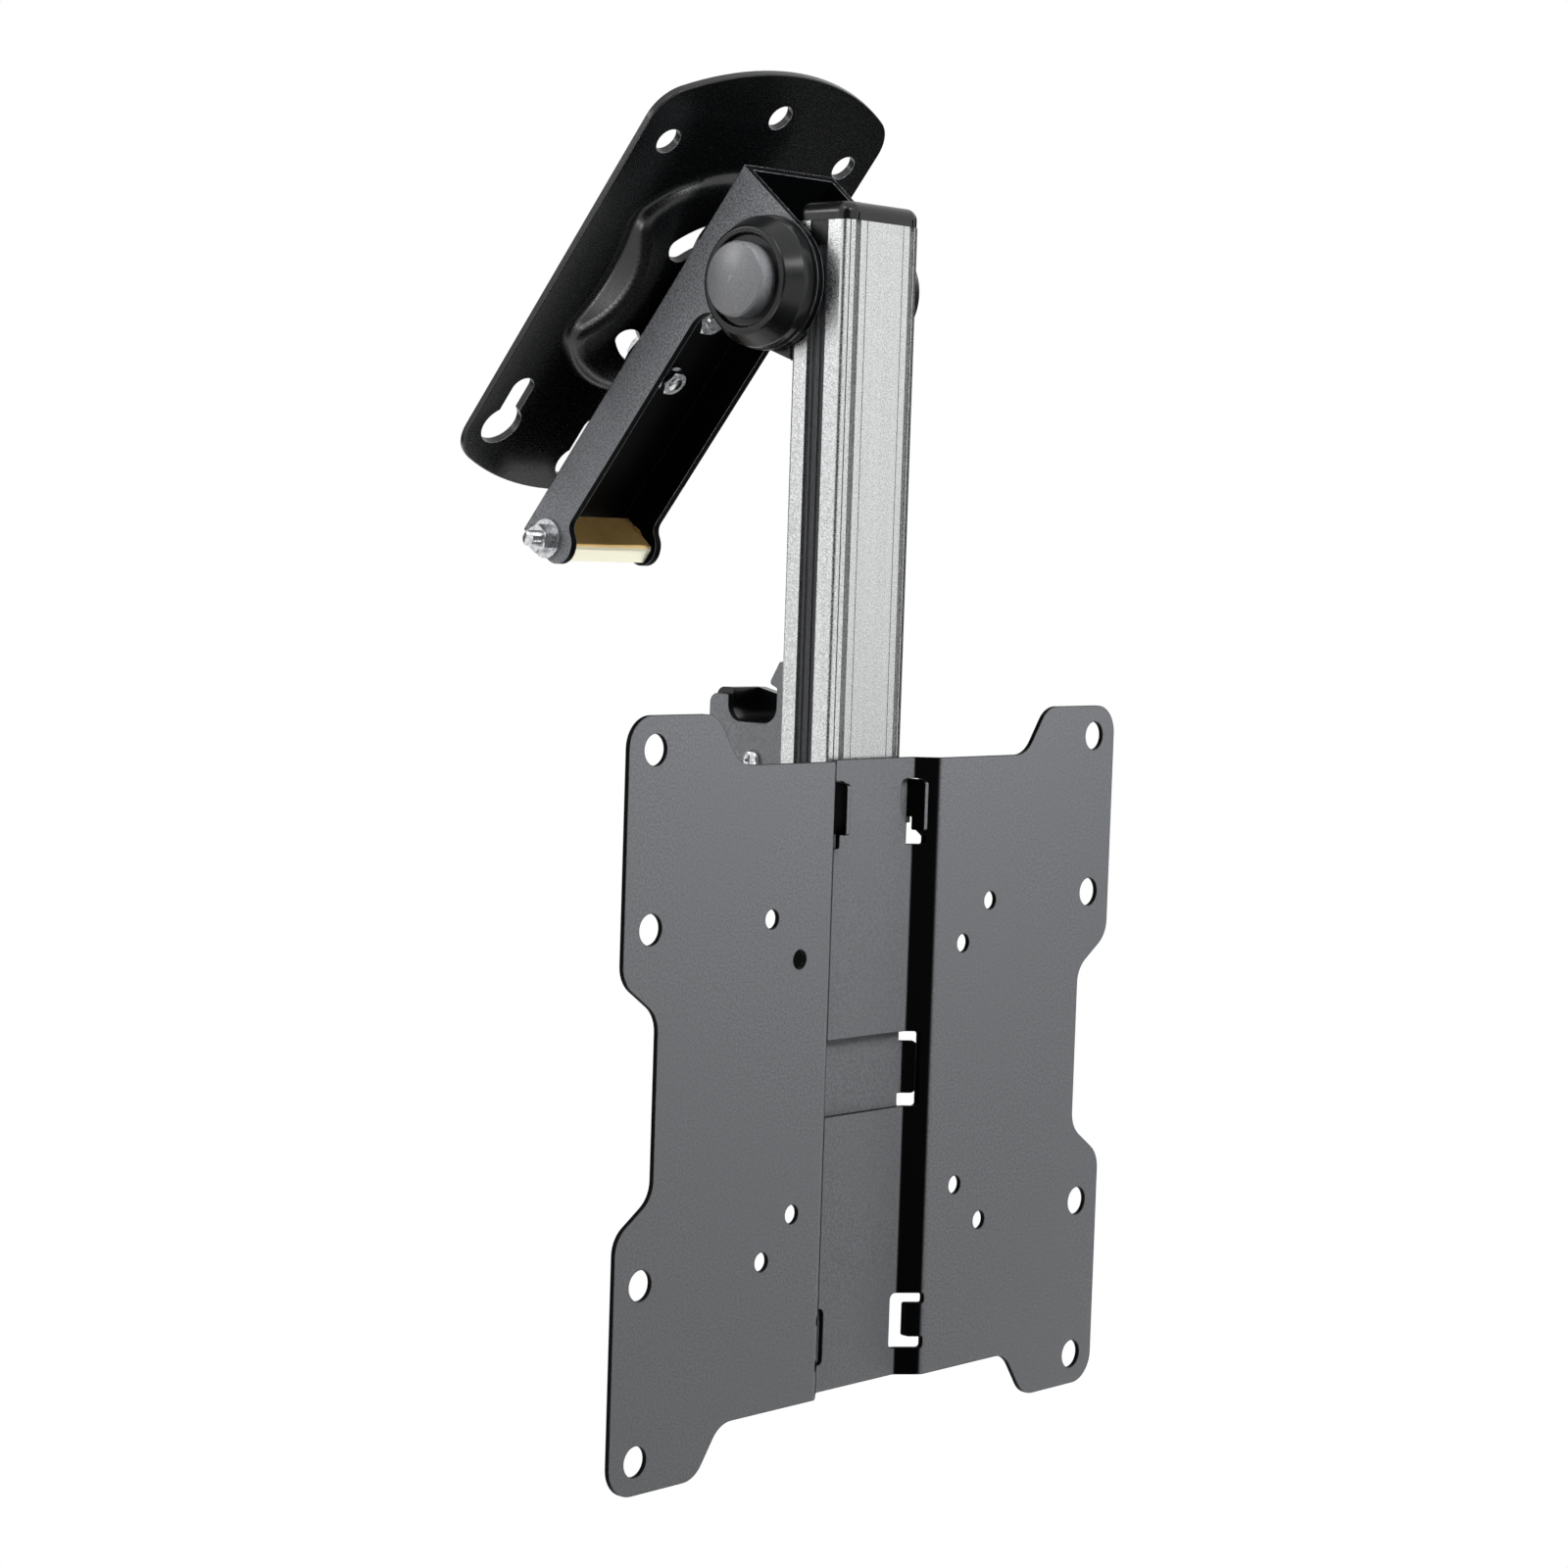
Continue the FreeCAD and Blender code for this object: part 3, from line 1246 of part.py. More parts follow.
def make_latch_cradle():
    """A plastic cradle between the cheeks: it lines the notch, closed at its right by a low end wall."""
    half = latch_width / 2 - latch_sheet - cradle_gap
    low = latch_screw_height - latch_screw_head - 1
    front = latch_front_wall - cradle_wall
    body = [
        (front, low), (front, cradle_front_top, 0.5), (latch_front_wall + 1, cradle_front_top),
        (cradle_end_dip_depth, cradle_end_dip, 2.0), (latch_back_wall + 0.2, cradle_top, 0.5),
        (cradle_depth, cradle_top, latch_arm_round), (cradle_depth, latch_screw_height + cradle_foot_rise,
                                                      latch_back_round),
        (latch_screw_depth + latch_screw_head + 2, low, cradle_foot_round),
    ]
    cradle = slab(body, lambda a, b: V(-half, pole_back + a, plate_z + b), V(2 * half, 0, 0))
    over = latch_top
    trough = [
        (latch_front_wall, over), (latch_front_wall, latch_notch_floor, latch_notch_round),
        (latch_back_wall, latch_notch_floor, latch_notch_round), (latch_back_wall, over),
    ]
    cradle = cradle.cut(slab(trough, lambda a, b: V(-half - 1, pole_back + a, plate_z + b),
                             V(2 * half + 1 - cradle_end_wall, 0, 0)))
    y = pole_back + latch_screw_depth
    z = plate_z + latch_screw_height
    return cradle.cut(rod(screw_radius + clear_fit, V(-half - 1, y, z), V(half + 1, y, z)))


def make_cradle_screws():
    """One screw from each side through a cheek into the cradle."""
    y = pole_back + latch_screw_depth
    z = plate_z + latch_screw_height
    length = latch_width / 2 - 0.5
    return Part.makeCompound([pan_screw(V(sign * latch_width / 2, y, z), V(sign, 0, 0), latch_screw_head,
                                        screw_head_height * 0.9, screw_radius, length) for sign in (1, -1)])


# Catch

def make_catch():
    """The catch: a folded plate with a wall, a lip and two side tabs that turn on the catch bolt."""
    half = arm_inner - catch_side_gap
    sheet = catch_sheet
    top = catch_wall_top
    wall_lip = [
        (catch_wall_t, top), (catch_wall_t, catch_lip_n, catch_bend_radius + sheet),
        (catch_lip_end, catch_lip_n), (catch_lip_end, catch_lip_n + sheet),
        (catch_wall_t + sheet, catch_lip_n + sheet, catch_bend_radius), (catch_wall_t + sheet, top),
    ]

    def side_plane(a, b):
        return V(-half, a, b)

    catch = slab(wall_lip, side_plane, V(2 * half, 0, 0))
    radius = catch_tab_radius
    lug = rod(radius, V(-half, catch_t, catch_n), V(sheet - half, catch_t, catch_n))
    lip_mid_n = catch_lip_n + sheet / 2
    heel = slab([(catch_wall_t, catch_n + radius), (catch_t, catch_n + radius), (catch_t, catch_n),
                 (catch_t + radius, catch_n), (catch_lip_end - sheet, lip_mid_n), (catch_wall_t, lip_mid_n)],
                side_plane, V(sheet, 0, 0))
    tab = lug.fuse(heel).removeSplitter()
    catch = catch.fuse(tab).fuse(mirrored(tab)).removeSplitter()
    bore = catch_bolt_radius + running_gap
    return catch.cut(rod(bore, V(-half - 1, catch_t, catch_n), V(half + 1, catch_t, catch_n)))


def make_catch_bolt():
    """The bolt across the ears, its head on the right and its thread standing out on the left."""
    under = arm_side + washer_sheet
    end = -(under + catch_nut_height + catch_bolt_end)
    bolt = rod(catch_bolt_radius, V(end, catch_t, catch_n), V(under, catch_t, catch_n))
    return bolt.fuse(hex_bar(catch_nut_flat, V(under, catch_t, catch_n),
                             V(under + catch_nut_height * 0.85, catch_t, catch_n)))


def make_catch_nut():
    start = arm_side + washer_sheet
    nut = hex_bar(catch_nut_flat, V(-start, catch_t, catch_n), V(-start - catch_nut_height, catch_t, catch_n))
    return nut.cut(rod(catch_bolt_radius, V(-start + 1, catch_t, catch_n),
                       V(-start - catch_nut_height - 1, catch_t, catch_n)))


def make_catch_washers():
    ring = tube(catch_washer_radius, catch_bolt_radius + clear_fit, V(arm_side, catch_t, catch_n),
                V(arm_side + washer_sheet, catch_t, catch_n))
    return Part.makeCompound([ring, mirrored(ring)])


def make_catch_spring():
    """The torsion spring round the catch bolt: one leg on the catch's wall, one on the arm's web."""
    coil = catch_bolt_radius + spring_bolt_gap + spring_wire / 2
    length = (spring_turns + 0.5) * spring_pitch
    end = arm_inner - catch_side_gap - catch_sheet - spring_wire
    helix = Part.makeHelix(spring_pitch, length, coil)
    helix.rotate(V(0, 0, 0), V(0, 1, 0), 90)
    helix.rotate(V(0, 0, 0), V(1, 0, 0), 270)
    helix.translate(V(end - length, catch_t, catch_n))
    path = helix.Edges[0]
    origin = path.valueAt(path.FirstParameter)
    last = path.valueAt(path.LastParameter)
    profile = Part.Wire(Part.Circle(origin, path.tangentAt(path.FirstParameter), spring_wire / 2).toShape())
    spring = Part.Wire(helix.Edges).makePipeShell([profile], True, True)
    web_reach = web_inner_n - catch_n - spring_web_gap
    for foot, reach in ((origin, spring_leg), (last, web_reach)):
        spring = spring.fuse(rod(spring_wire / 2, foot, foot.add(V(0, 0, reach))))
        spring = spring.fuse(Part.makeSphere(spring_wire / 2, foot))
    return spring.removeSplitter()


def save(name, shape):
    shape.exportStep("parts/" + name + ".step")


def main():
    os.makedirs("parts", exist_ok=True)
    on_arm = {
        "ceiling_plate": make_ceiling_plate(),
        "arm_channel": make_arm_channel(),
        "swivel_pad": make_swivel_pad(),
        "swivel_bolt": make_swivel_bolt(),
        "swivel_nut": make_swivel_nut(),
        "lock_bolts": make_lock_bolts(),
        "lock_washers": make_lock_washers(),
        "web_washers": make_web_washers(),
        "web_nuts": make_web_nuts(),
        "hinge_bolt": make_hinge_bolt(),
        "hinge_nut": make_hinge_nut(),
        "hinge_spring_washers": make_spring_washers(),
        "hinge_cover_left": make_cover(-1),
        "hinge_cover_right": make_cover(1),
        "hinge_cap_left": make_cap(-1),
        "hinge_cap_right": make_cap(1),
        "friction_washers": make_friction_washers(),
        "catch": make_catch(),
        "catch_bolt": make_catch_bolt(),
        "catch_nut": make_catch_nut(),
        "catch_washers": make_catch_washers(),
        "catch_spring": make_catch_spring(),
    }
    on_pole = {
        "pole": make_pole(),
        "slot_insert_left": make_slot_insert(-1),
        "slot_insert_right": make_slot_insert(1),
        "top_cap": make_top_cap(),
        "bottom_cap": make_bottom_cap(),
        "hinge_bracket": make_hinge_bracket(),
        "bracket_screws": make_bracket_screws(),
        "screen_plate": make_screen_plate(),
        "carrier": make_carrier(),
        "carrier_screws": make_carrier_screws(),
        "latch_bracket": make_latch_bracket(),
        "latch_screws": make_latch_screws(),
        "latch_cradle": make_latch_cradle(),
        "cradle_screws": make_cradle_screws(),
    }
    for name, shape in on_arm.items():
        save(name, place_on_arm(shape))
    for name, shape in on_pole.items():
        save(name, place_on_pole(shape))


main()
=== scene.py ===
"""Looks of a folding ceiling mount for a screen: finishes, threads, floor, light and camera."""

import json
import math

import bpy
import numpy as np
from mathutils import Matrix, Vector


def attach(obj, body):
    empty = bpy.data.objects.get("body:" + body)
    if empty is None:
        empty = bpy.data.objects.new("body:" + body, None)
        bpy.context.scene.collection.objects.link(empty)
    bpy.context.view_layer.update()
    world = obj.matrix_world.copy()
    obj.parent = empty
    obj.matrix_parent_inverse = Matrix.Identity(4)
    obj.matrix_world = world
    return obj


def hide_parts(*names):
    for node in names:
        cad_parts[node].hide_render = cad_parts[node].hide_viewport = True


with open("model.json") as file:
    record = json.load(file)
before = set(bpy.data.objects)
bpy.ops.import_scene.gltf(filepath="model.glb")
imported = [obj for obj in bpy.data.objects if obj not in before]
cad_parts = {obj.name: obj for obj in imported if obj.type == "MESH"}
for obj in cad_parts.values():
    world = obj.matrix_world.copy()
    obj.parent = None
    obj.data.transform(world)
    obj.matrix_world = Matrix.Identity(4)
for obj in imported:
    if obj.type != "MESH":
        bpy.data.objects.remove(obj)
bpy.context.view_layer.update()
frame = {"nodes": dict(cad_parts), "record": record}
nodes = frame["nodes"]

MM = 0.001


# Colours and nodes

def paint(hex_code):
    """The linear red, green, blue and alpha of an sRGB hex colour."""
    parts = [int(hex_code[i:i + 2], 16) / 255 for i in (1, 3, 5)]
    linear = [c / 12.92 if c <= 0.04045 else ((c + 0.055) / 1.055) ** 2.4 for c in parts]
    return (*linear, 1)


def add(tree, kind, settings=None, **links):
    """Adds one node, sets its properties and sockets, and links the sockets that are given another socket.
    A key such as in_2 stands for the socket by its number."""
    node = tree.nodes.new(kind)
    for name, value in (settings or {}).items():
        setattr(node, name, value)
    for name, value in links.items():
        key = int(name[3:]) if name.startswith("in_") else name.replace("_", " ")
        socket = node.inputs[key]
        if isinstance(value, bpy.types.NodeSocket):
            tree.links.new(value, socket)
        else:
            socket.default_value = value
    return node


def new_material(name):
    """An empty node material with its output and its Object coordinates."""
    material = bpy.data.materials.new(name)
    material.use_nodes = True
    tree = material.node_tree
    tree.nodes.clear()
    coords = tree.nodes.new("ShaderNodeTexCoord").outputs["Object"]
    return material, tree, coords


def ramp(tree, value, low, high, to_low=0.0, to_high=1.0):
    """A value carried from one range to another, and held at the ends."""
    node = add(tree, "ShaderNodeMapRange", {"interpolation_type": "SMOOTHSTEP"},
               in_0=value, in_1=low, in_2=high, in_3=to_low, in_4=to_high)
    return node.outputs[0]


def grain(tree, coords, size_mm, detail=2.0, roughness=0.5, along=(1, 1, 1)):
    """Noise whose lumps are about size_mm wide. A factor below 1 in along makes them longer that way."""
    scaled = add(tree, "ShaderNodeMapping", in_0=coords, in_3=along)
    noise = add(tree, "ShaderNodeTexNoise", Vector=scaled.outputs[0], Scale=1 / (size_mm * MM),
                Detail=detail, Roughness=roughness)
    return noise.outputs["Fac"]


def mixed(tree, factor, first, second):
    """Two colours mixed by a factor."""
    node = add(tree, "ShaderNodeMix", {"data_type": "RGBA"}, in_0=factor, in_6=first, in_7=second)
    return node.outputs[2]


def raised(tree, height, distance_mm, strength=1.0, below=None):
    """A bump of that height, on top of another one where below is given."""
    node = add(tree, "ShaderNodeBump", Height=height, Distance=distance_mm * MM, Strength=strength)
    if below is not None:
        tree.links.new(below, node.inputs["Normal"])
    return node.outputs[0]


def alike(tree, first, second):
    """The cosine of the angle between two directions of length 1."""
    node = add(tree, "ShaderNodeVectorMath", {"operation": "DOT_PRODUCT"}, in_0=first, in_1=second)
    return node.outputs["Value"]


def computed(tree, operation, first, second=None):
    """One number from one or two others."""
    others = {} if second is None else {"in_1": second}
    return add(tree, "ShaderNodeMath", {"operation": operation}, in_0=first, **others).outputs[0]


def close(tree, **links):
    """The principled shader at the end of a material's tree."""
    shader = add(tree, "ShaderNodeBsdfPrincipled", None, **links)
    add(tree, "ShaderNodeOutputMaterial", in_0=shader.outputs[0])
    return shader


# Finishes

BEVEL_SAMPLES = 6
SHADE_EDGE_MM = 0.6         # radius of the painted shade line on a fold or an edge
HIGHLIGHT_EDGE_MM = 0.45        # radius of the painted highlight line on a broken edge
OUTSIDE_FADE_MM = 0.6
DULL_SPECULAR = 0.04
CLOUD_MM = 38.0            # width of the faint clouds in a coat
DENT_MM = 0.45             # the real dents are about 0.1 mm; at this width the render still shows them
DENT_DEPTH_MM = 0.04
SPOT_MM = 1.3
STREAK_MM = 1.6
STREAK_ALONG = (1, 1, 0.012)
SCRATCH_MM = 0.5
SCRATCH_ALONG = (0.15, 1, 1)
SCRATCH_DEPTH_MM = 0.002
PALE_METAL = 0.1           # metal share of the cream lip, which is painted light
FLOW_MM = 14.0             # width of the faint flow marks in a moulding
RIB_DEPTH_MM = 0.12
DRAWN_LINE_MM = 0.2
DRAWN_LINE_ALONG = (0.1, 1, 1)
DRAWN_LINE_DEPTH_MM = 0.005


def powder_coat(name, face, dark, grain_mm, depth_mm, gloss, specular,
                face_axis=None, outside_mm=None, rim=None):
    """Polyester powder baked on steel sheet. It leaves a fine, even orange peel with small darker pits, and a
    satin sheen that breaks up in it. With face_axis, only the faces that look along that axis of the piece
    have the face colour; faces turned other ways, folds and broken edges get a dark, dull painted shade,
    which draws the thin dark line round every hole and edge. With outside_mm, only faces that lie further out
    than that have it, so the inside of a channel keeps the painted shade. With a rim colour, a thin paler
    line of painted highlight follows the broken edges."""
    material, tree, coords = new_material(name)
    fine = grain(tree, coords, grain_mm, detail=3.0, roughness=0.6)
    cloudy = grain(tree, coords, CLOUD_MM)
    lit = mixed(tree, ramp(tree, fine, 0.34, 0.66), paint(face[0]), paint(face[1]))
    lit = mixed(tree, ramp(tree, cloudy, 0.3, 0.7, to_high=0.5), lit, paint(face[2]))
    sheen = specular
    if face_axis is not None:
        # painted shade: faces turned away from face_axis, and folds and edges through their bevelled normal,
        # get the dark colour
        edge = add(tree, "ShaderNodeBevel", {"samples": BEVEL_SAMPLES}, Radius=SHADE_EDGE_MM * MM)
        own_way = add(tree, "ShaderNodeVectorTransform",
                      {"vector_type": "NORMAL", "convert_from": "WORLD", "convert_to": "OBJECT"},
                      in_0=edge.outputs[0])
        split = add(tree, "ShaderNodeSeparateXYZ", in_0=own_way.outputs[0])
        side = computed(tree, "ABSOLUTE", split.outputs[face_axis])
        on_face = ramp(tree, side, 0.80, 0.97)
        # only faces further out than outside_mm keep the face colour: painted shade inside a channel, painted
        # sheen on the outside
        if outside_mm is not None:
            place = add(tree, "ShaderNodeSeparateXYZ", in_0=coords)
            out = computed(tree, "ABSOLUTE", place.outputs[face_axis])
            reached = ramp(tree, out, (outside_mm - OUTSIDE_FADE_MM) * MM, outside_mm * MM)
            on_face = computed(tree, "MULTIPLY", on_face, reached)
        lit = mixed(tree, on_face, paint(dark), lit)
        sheen = ramp(tree, on_face, 0.0, 1.0, to_low=DULL_SPECULAR, to_high=specular)
    # painted highlight: a paler line along the broken edges
    if rim is not None:
        highlight_bevel = add(tree, "ShaderNodeBevel", {"samples": BEVEL_SAMPLES}, Radius=HIGHLIGHT_EDGE_MM * MM)
        plain = add(tree, "ShaderNodeNewGeometry")
        flat = ramp(tree, alike(tree, highlight_bevel.outputs[0], plain.outputs["Normal"]), 0.86, 0.98)
        lit = mixed(tree, flat, paint(rim), lit)
    rough = ramp(tree, fine, 0.3, 0.7, to_low=gloss - 0.05, to_high=gloss + 0.07)
    bump = raised(tree, fine, depth_mm)
    close(tree, Base_Color=lit, Roughness=rough, Normal=bump, Specular_IOR_Level=sheen)
    return material


def blasted_aluminium(name):
    """An aluminium extrusion, bead blasted and clear anodised. The blasting leaves tiny round dents that
    sparkle, and the die leaves faint streaks along the pole."""
    material, tree, coords = new_material(name)
    dents = grain(tree, coords, DENT_MM, roughness=0.7)
    spots = grain(tree, coords, SPOT_MM, detail=3.0, roughness=0.65)
    streaks = grain(tree, coords, STREAK_MM, along=STREAK_ALONG)
    color = mixed(tree, ramp(tree, dents, 0.33, 0.68), paint("#A9AAAB"), paint("#FBFCFC"))
    color = mixed(tree, ramp(tree, spots, 0.35, 0.7, to_high=0.45), color, paint("#D3D4D5"))
    color = mixed(tree, ramp(tree, streaks, 0.3, 0.7, to_high=0.25), color, paint("#E9EAEA"))
    rough = ramp(tree, dents, 0.3, 0.7, to_low=0.24, to_high=0.36)
    bump = raised(tree, dents, DENT_DEPTH_MM, strength=0.8)
    close(tree, Base_Color=color, Metallic=1.0, Roughness=rough, Normal=bump)
    return material


def zinc_plate(name, hexes, gloss, cloud_mm, metal=1.0, pale=None, pale_way=None):
    """Zinc plate with a thin passivation. It is bright but never quite even: cloudy spots a few
    millimetres wide, and fine rolling lines. A thick yellow film scatters light too, so its metal share is
    lower. The faces of the piece that look along pale_way are painted cream and matt: painted light, standing
    in for the light that the catch's lip catches from below."""
    material, tree, coords = new_material(name)
    clouds = grain(tree, coords, cloud_mm, detail=3.0, roughness=0.6)
    scratches = grain(tree, coords, SCRATCH_MM, along=SCRATCH_ALONG)
    color = mixed(tree, ramp(tree, clouds, 0.3, 0.7), paint(hexes[0]), paint(hexes[1]))
    # painted light: faces that look along pale_way take the cream colour and a low metal share
    if pale is not None:
        own = tree.nodes.new("ShaderNodeTexCoord").outputs["Normal"]
        thin = ramp(tree, alike(tree, own, pale_way), 0.6, 0.9)
        color = mixed(tree, thin, color, paint(pale))
        metal = ramp(tree, thin, 0.0, 1.0, to_low=metal, to_high=PALE_METAL)
    rough = ramp(tree, scratches, 0.25, 0.75, to_low=gloss - 0.03, to_high=gloss + 0.05)
    bump = raised(tree, scratches, SCRATCH_DEPTH_MM)
    close(tree, Base_Color=color, Metallic=metal, Roughness=rough, Normal=bump)
    return material


def moulded_plastic(name, hexes, spark_mm, depth_mm, gloss, specular=0.5, ribs_mm=None, skin=0.0):
    """Injection-moulded ABS or nylon, with the spark-eroded grain of its mould, and ribs along a strip
    where ribs_mm gives their pitch. The skin is the clear, smooth resin that lies against the mould and
    gives a second, sharper gloss."""
    material, tree, coords = new_material(name)
    spark = grain(tree, coords, spark_mm, roughness=0.6)
    flow = grain(tree, coords, FLOW_MM)
    color = mixed(tree, ramp(tree, spark, 0.35, 0.65), paint(hexes[0]), paint(hexes[1]))
    rough = ramp(tree, flow, 0.3, 0.7, to_low=gloss - 0.04, to_high=gloss + 0.06)
    bump = raised(tree, spark, depth_mm)
    if ribs_mm is not None:
        split = add(tree, "ShaderNodeSeparateXYZ", in_0=coords)
        phase = computed(tree, "MULTIPLY", split.outputs[1], 2 * math.pi / (ribs_mm * MM))
        bump = raised(tree, computed(tree, "SINE", phase), RIB_DEPTH_MM, below=bump)
    close(tree, Base_Color=color, Roughness=rough, Normal=bump, Specular_IOR_Level=specular,
          Coat_Weight=skin, Coat_Roughness=gloss * 0.7)
    return material


def spring_wire(name):
    """Drawn music wire, oiled and heated for stress relief: dark straw-grey steel with faint lines."""
    material, tree, coords = new_material(name)
    lines = grain(tree, coords, DRAWN_LINE_MM, along=DRAWN_LINE_ALONG)
    color = mixed(tree, ramp(tree, lines, 0.3, 0.7), paint("#8A857C"), paint("#A8A5A0"))
    rough = ramp(tree, lines, 0.3, 0.7, to_low=0.26, to_high=0.4)
    bump = raised(tree, lines, DRAWN_LINE_DEPTH_MM)
    close(tree, Base_Color=color, Metallic=1.0, Roughness=rough, Normal=bump)
    return material


# the arm leans with the ceiling; at rest these are the ways down along it and square up to the ceiling
lean = math.radians(39.5)
down_arm = np.array((0, math.sin(lean), -math.cos(lean)))
to_ceiling = np.array((0, math.cos(lean), math.sin(lean)))

# the ceiling plate and the hinge bracket: deep black with a fine grain, and a painted highlight line on the
# cut edge
black_coat = powder_coat("powder_coat_black", ("#060708", "#0C0D0E", "#090A0B"), "#060708",
                         grain_mm=0.7, depth_mm=0.007, gloss=0.27, specular=0.6, rim="#7E8084")
# the arm: the same black inside, and a greyer grain that sparkles on the outside of both flanges, which is
# painted sheen; a painted highlight line on the cut edges
arm_coat = powder_coat("powder_coat_black_flanges", ("#3E4044", "#94969A", "#66686C"), "#060708",
                       grain_mm=0.6, depth_mm=0.05, gloss=0.40, specular=0.6,
                       face_axis="X", outside_mm=20.0, rim="#8A8C90")
# the screen plate and its carrier: graphite grey faces, with near-black painted shade on the folds, edges and
# faces turned sideways
grey_faces = powder_coat("powder_coat_graphite", ("#66686B", "#7E8083", "#727477"), "#040405",
                         grain_mm=0.7, depth_mm=0.04, gloss=0.46, specular=0.5, face_axis="Y")
# the latch bracket: the same grey on its cheeks, with painted shade on its other faces, folds and edges
grey_cheeks = powder_coat("powder_coat_graphite_cheeks", ("#66686B", "#828487", "#747679"), "#151617",
                          grain_mm=0.7, depth_mm=0.04, gloss=0.46, specular=0.5, face_axis="X")
# the pole: pale grey metal that sparkles
pole_metal = blasted_aluminium("blasted_aluminium")
# bolts, nuts and washers: bright, faintly cloudy silver
bright_zinc = zinc_plate("blue_zinc_plate", ("#B4B7BA", "#ECEDEE"), gloss=0.22, cloud_mm=1.6)
# the catch: brown-gold, with a cream lip that is painted light
yellow_zinc = zinc_plate("yellow_zinc_plate", ("#E0B468", "#F0CA84"), gloss=0.2, cloud_mm=14.0,
                         metal=0.6, pale="#FFFBE0", pale_way=tuple(-to_ceiling))
# the catch's torsion spring
spring_steel = spring_wire("blued_spring_wire")
# the hinge covers: black satin
cover_plastic = moulded_plastic("satin_abs", ("#0A0B0C", "#111213"),
                                spark_mm=0.5, depth_mm=0.01, gloss=0.26, specular=0.35, skin=0.1)
# the caps in them: mid grey with a soft sheen; part of the grey is painted sheen
cap_plastic = moulded_plastic("sparked_abs", ("#626366", "#747578"),
                              spark_mm=0.5, depth_mm=0.03, gloss=0.34, specular=0.6, skin=0.4)
# the pole's caps, the cradle and the shoe: glossy black
end_plastic = moulded_plastic("polished_nylon", ("#08090A", "#101112"),
                              spark_mm=0.6, depth_mm=0.006, gloss=0.2)
# the strips in the pole's side slots: dark grey with fine ribs
strip_plastic = moulded_plastic("ribbed_pvc", ("#3E3F42", "#525356"),
                                spark_mm=0.5, depth_mm=0.01, gloss=0.4, ribs_mm=0.9)
# the friction washers: off-white
washer_plastic = moulded_plastic("white_acetal", ("#C9C8C2", "#D9D8D3"),
                                 spark_mm=0.6, depth_mm=0.01, gloss=0.4)

FINISHES = {
    "ceiling_plate": black_coat, "arm_channel": arm_coat, "hinge_bracket": black_coat,
    "screen_plate": grey_faces, "carrier": grey_faces, "latch_bracket": grey_cheeks,
    "pole": pole_metal,
    "catch": yellow_zinc, "catch_spring": spring_steel,
    "hinge_cover_left": cover_plastic, "hinge_cover_right": cover_plastic,
    "hinge_cap_left": cap_plastic, "hinge_cap_right": cap_plastic,
    "top_cap": end_plastic, "bottom_cap": end_plastic,
    "latch_cradle": end_plastic, "swivel_pad": end_plastic,
    "slot_insert_left": strip_plastic, "slot_insert_right": strip_plastic,
    "friction_washers": washer_plastic,
}
for node_name, node in nodes.items():
    finish = FINISHES.get(node_name, bright_zinc)
    for material_slot in node.material_slots:
        material_slot.link = "OBJECT"
        material_slot.material = finish


# Threaded bolts

SIDES = 72                 # points round a bolt
ROWS_A_TURN = 12           # rings in each turn of its thread
THREAD_DEPTH = 0.55        # in pitches
LEAST_THREAD = 0.25        # share of the depth that is left at the end
CHAMFER_START = 0.475      # radius of the head's flat top, as a share of the width across its flats
CHAMFER_ROWS = 6
END_RADIUS = 0.78          # share of the thread's radius that the chamfer leaves at the end
END_CHAMFER = 0.4          # length of the end's chamfer, in pitches
CREASE = math.radians(40)
NOT_ALONG_AXIS = (0.3, 0.2, 0.9)


def place_of(joint_name):
    """Where a joint of the record stands, in metres."""
    for joint in frame["record"]["behaviour"]["joints"]:
        if joint["name"] == joint_name:
            return np.array(joint["pos_m"])


def turned_surface(profile, origin, axis, shape):
    """Points and faces of a closed surface about an axis, from (x, r) pairs in millimetres. The formula is
    point(x, a) = origin + x * axis + shape(x, r, a) * (cos a * across + sin a * up). Both ends of the profile
    lie on the axis, so each is one point."""
    axis = np.array(axis, float)
    across = np.cross(axis, NOT_ALONG_AXIS)
    across /= np.linalg.norm(across)
    up = np.cross(axis, across)
    x, r = np.array(profile, float).T
    rows = len(x) - 2
    xx, aa = np.meshgrid(x[1:-1], np.arange(SIDES) * 2 * np.pi / SIDES, indexing="ij")
    rr = shape(xx, np.repeat(r[1:-1, None], SIDES, 1), aa)
    ring = np.cos(aa)[..., None] * across + np.sin(aa)[..., None] * up
    body = (xx[..., None] * axis + rr[..., None] * ring).reshape(-1, 3)
    points = origin + MM * np.vstack([x[0] * axis, body, x[-1] * axis])
    here = 1 + np.arange(rows * SIDES).reshape(rows, SIDES)
    beside = np.roll(here, -1, 1)
    faces = np.stack([here[:-1], beside[:-1], beside[1:], here[1:]], -1).reshape(-1, 4).tolist()
    last = len(points) - 1
    faces += [(0, int(b), int(a)) for a, b in zip(here[0], beside[0])]
    faces += [(last, int(a), int(b)) for a, b in zip(here[-1], beside[-1])]
    return points, faces


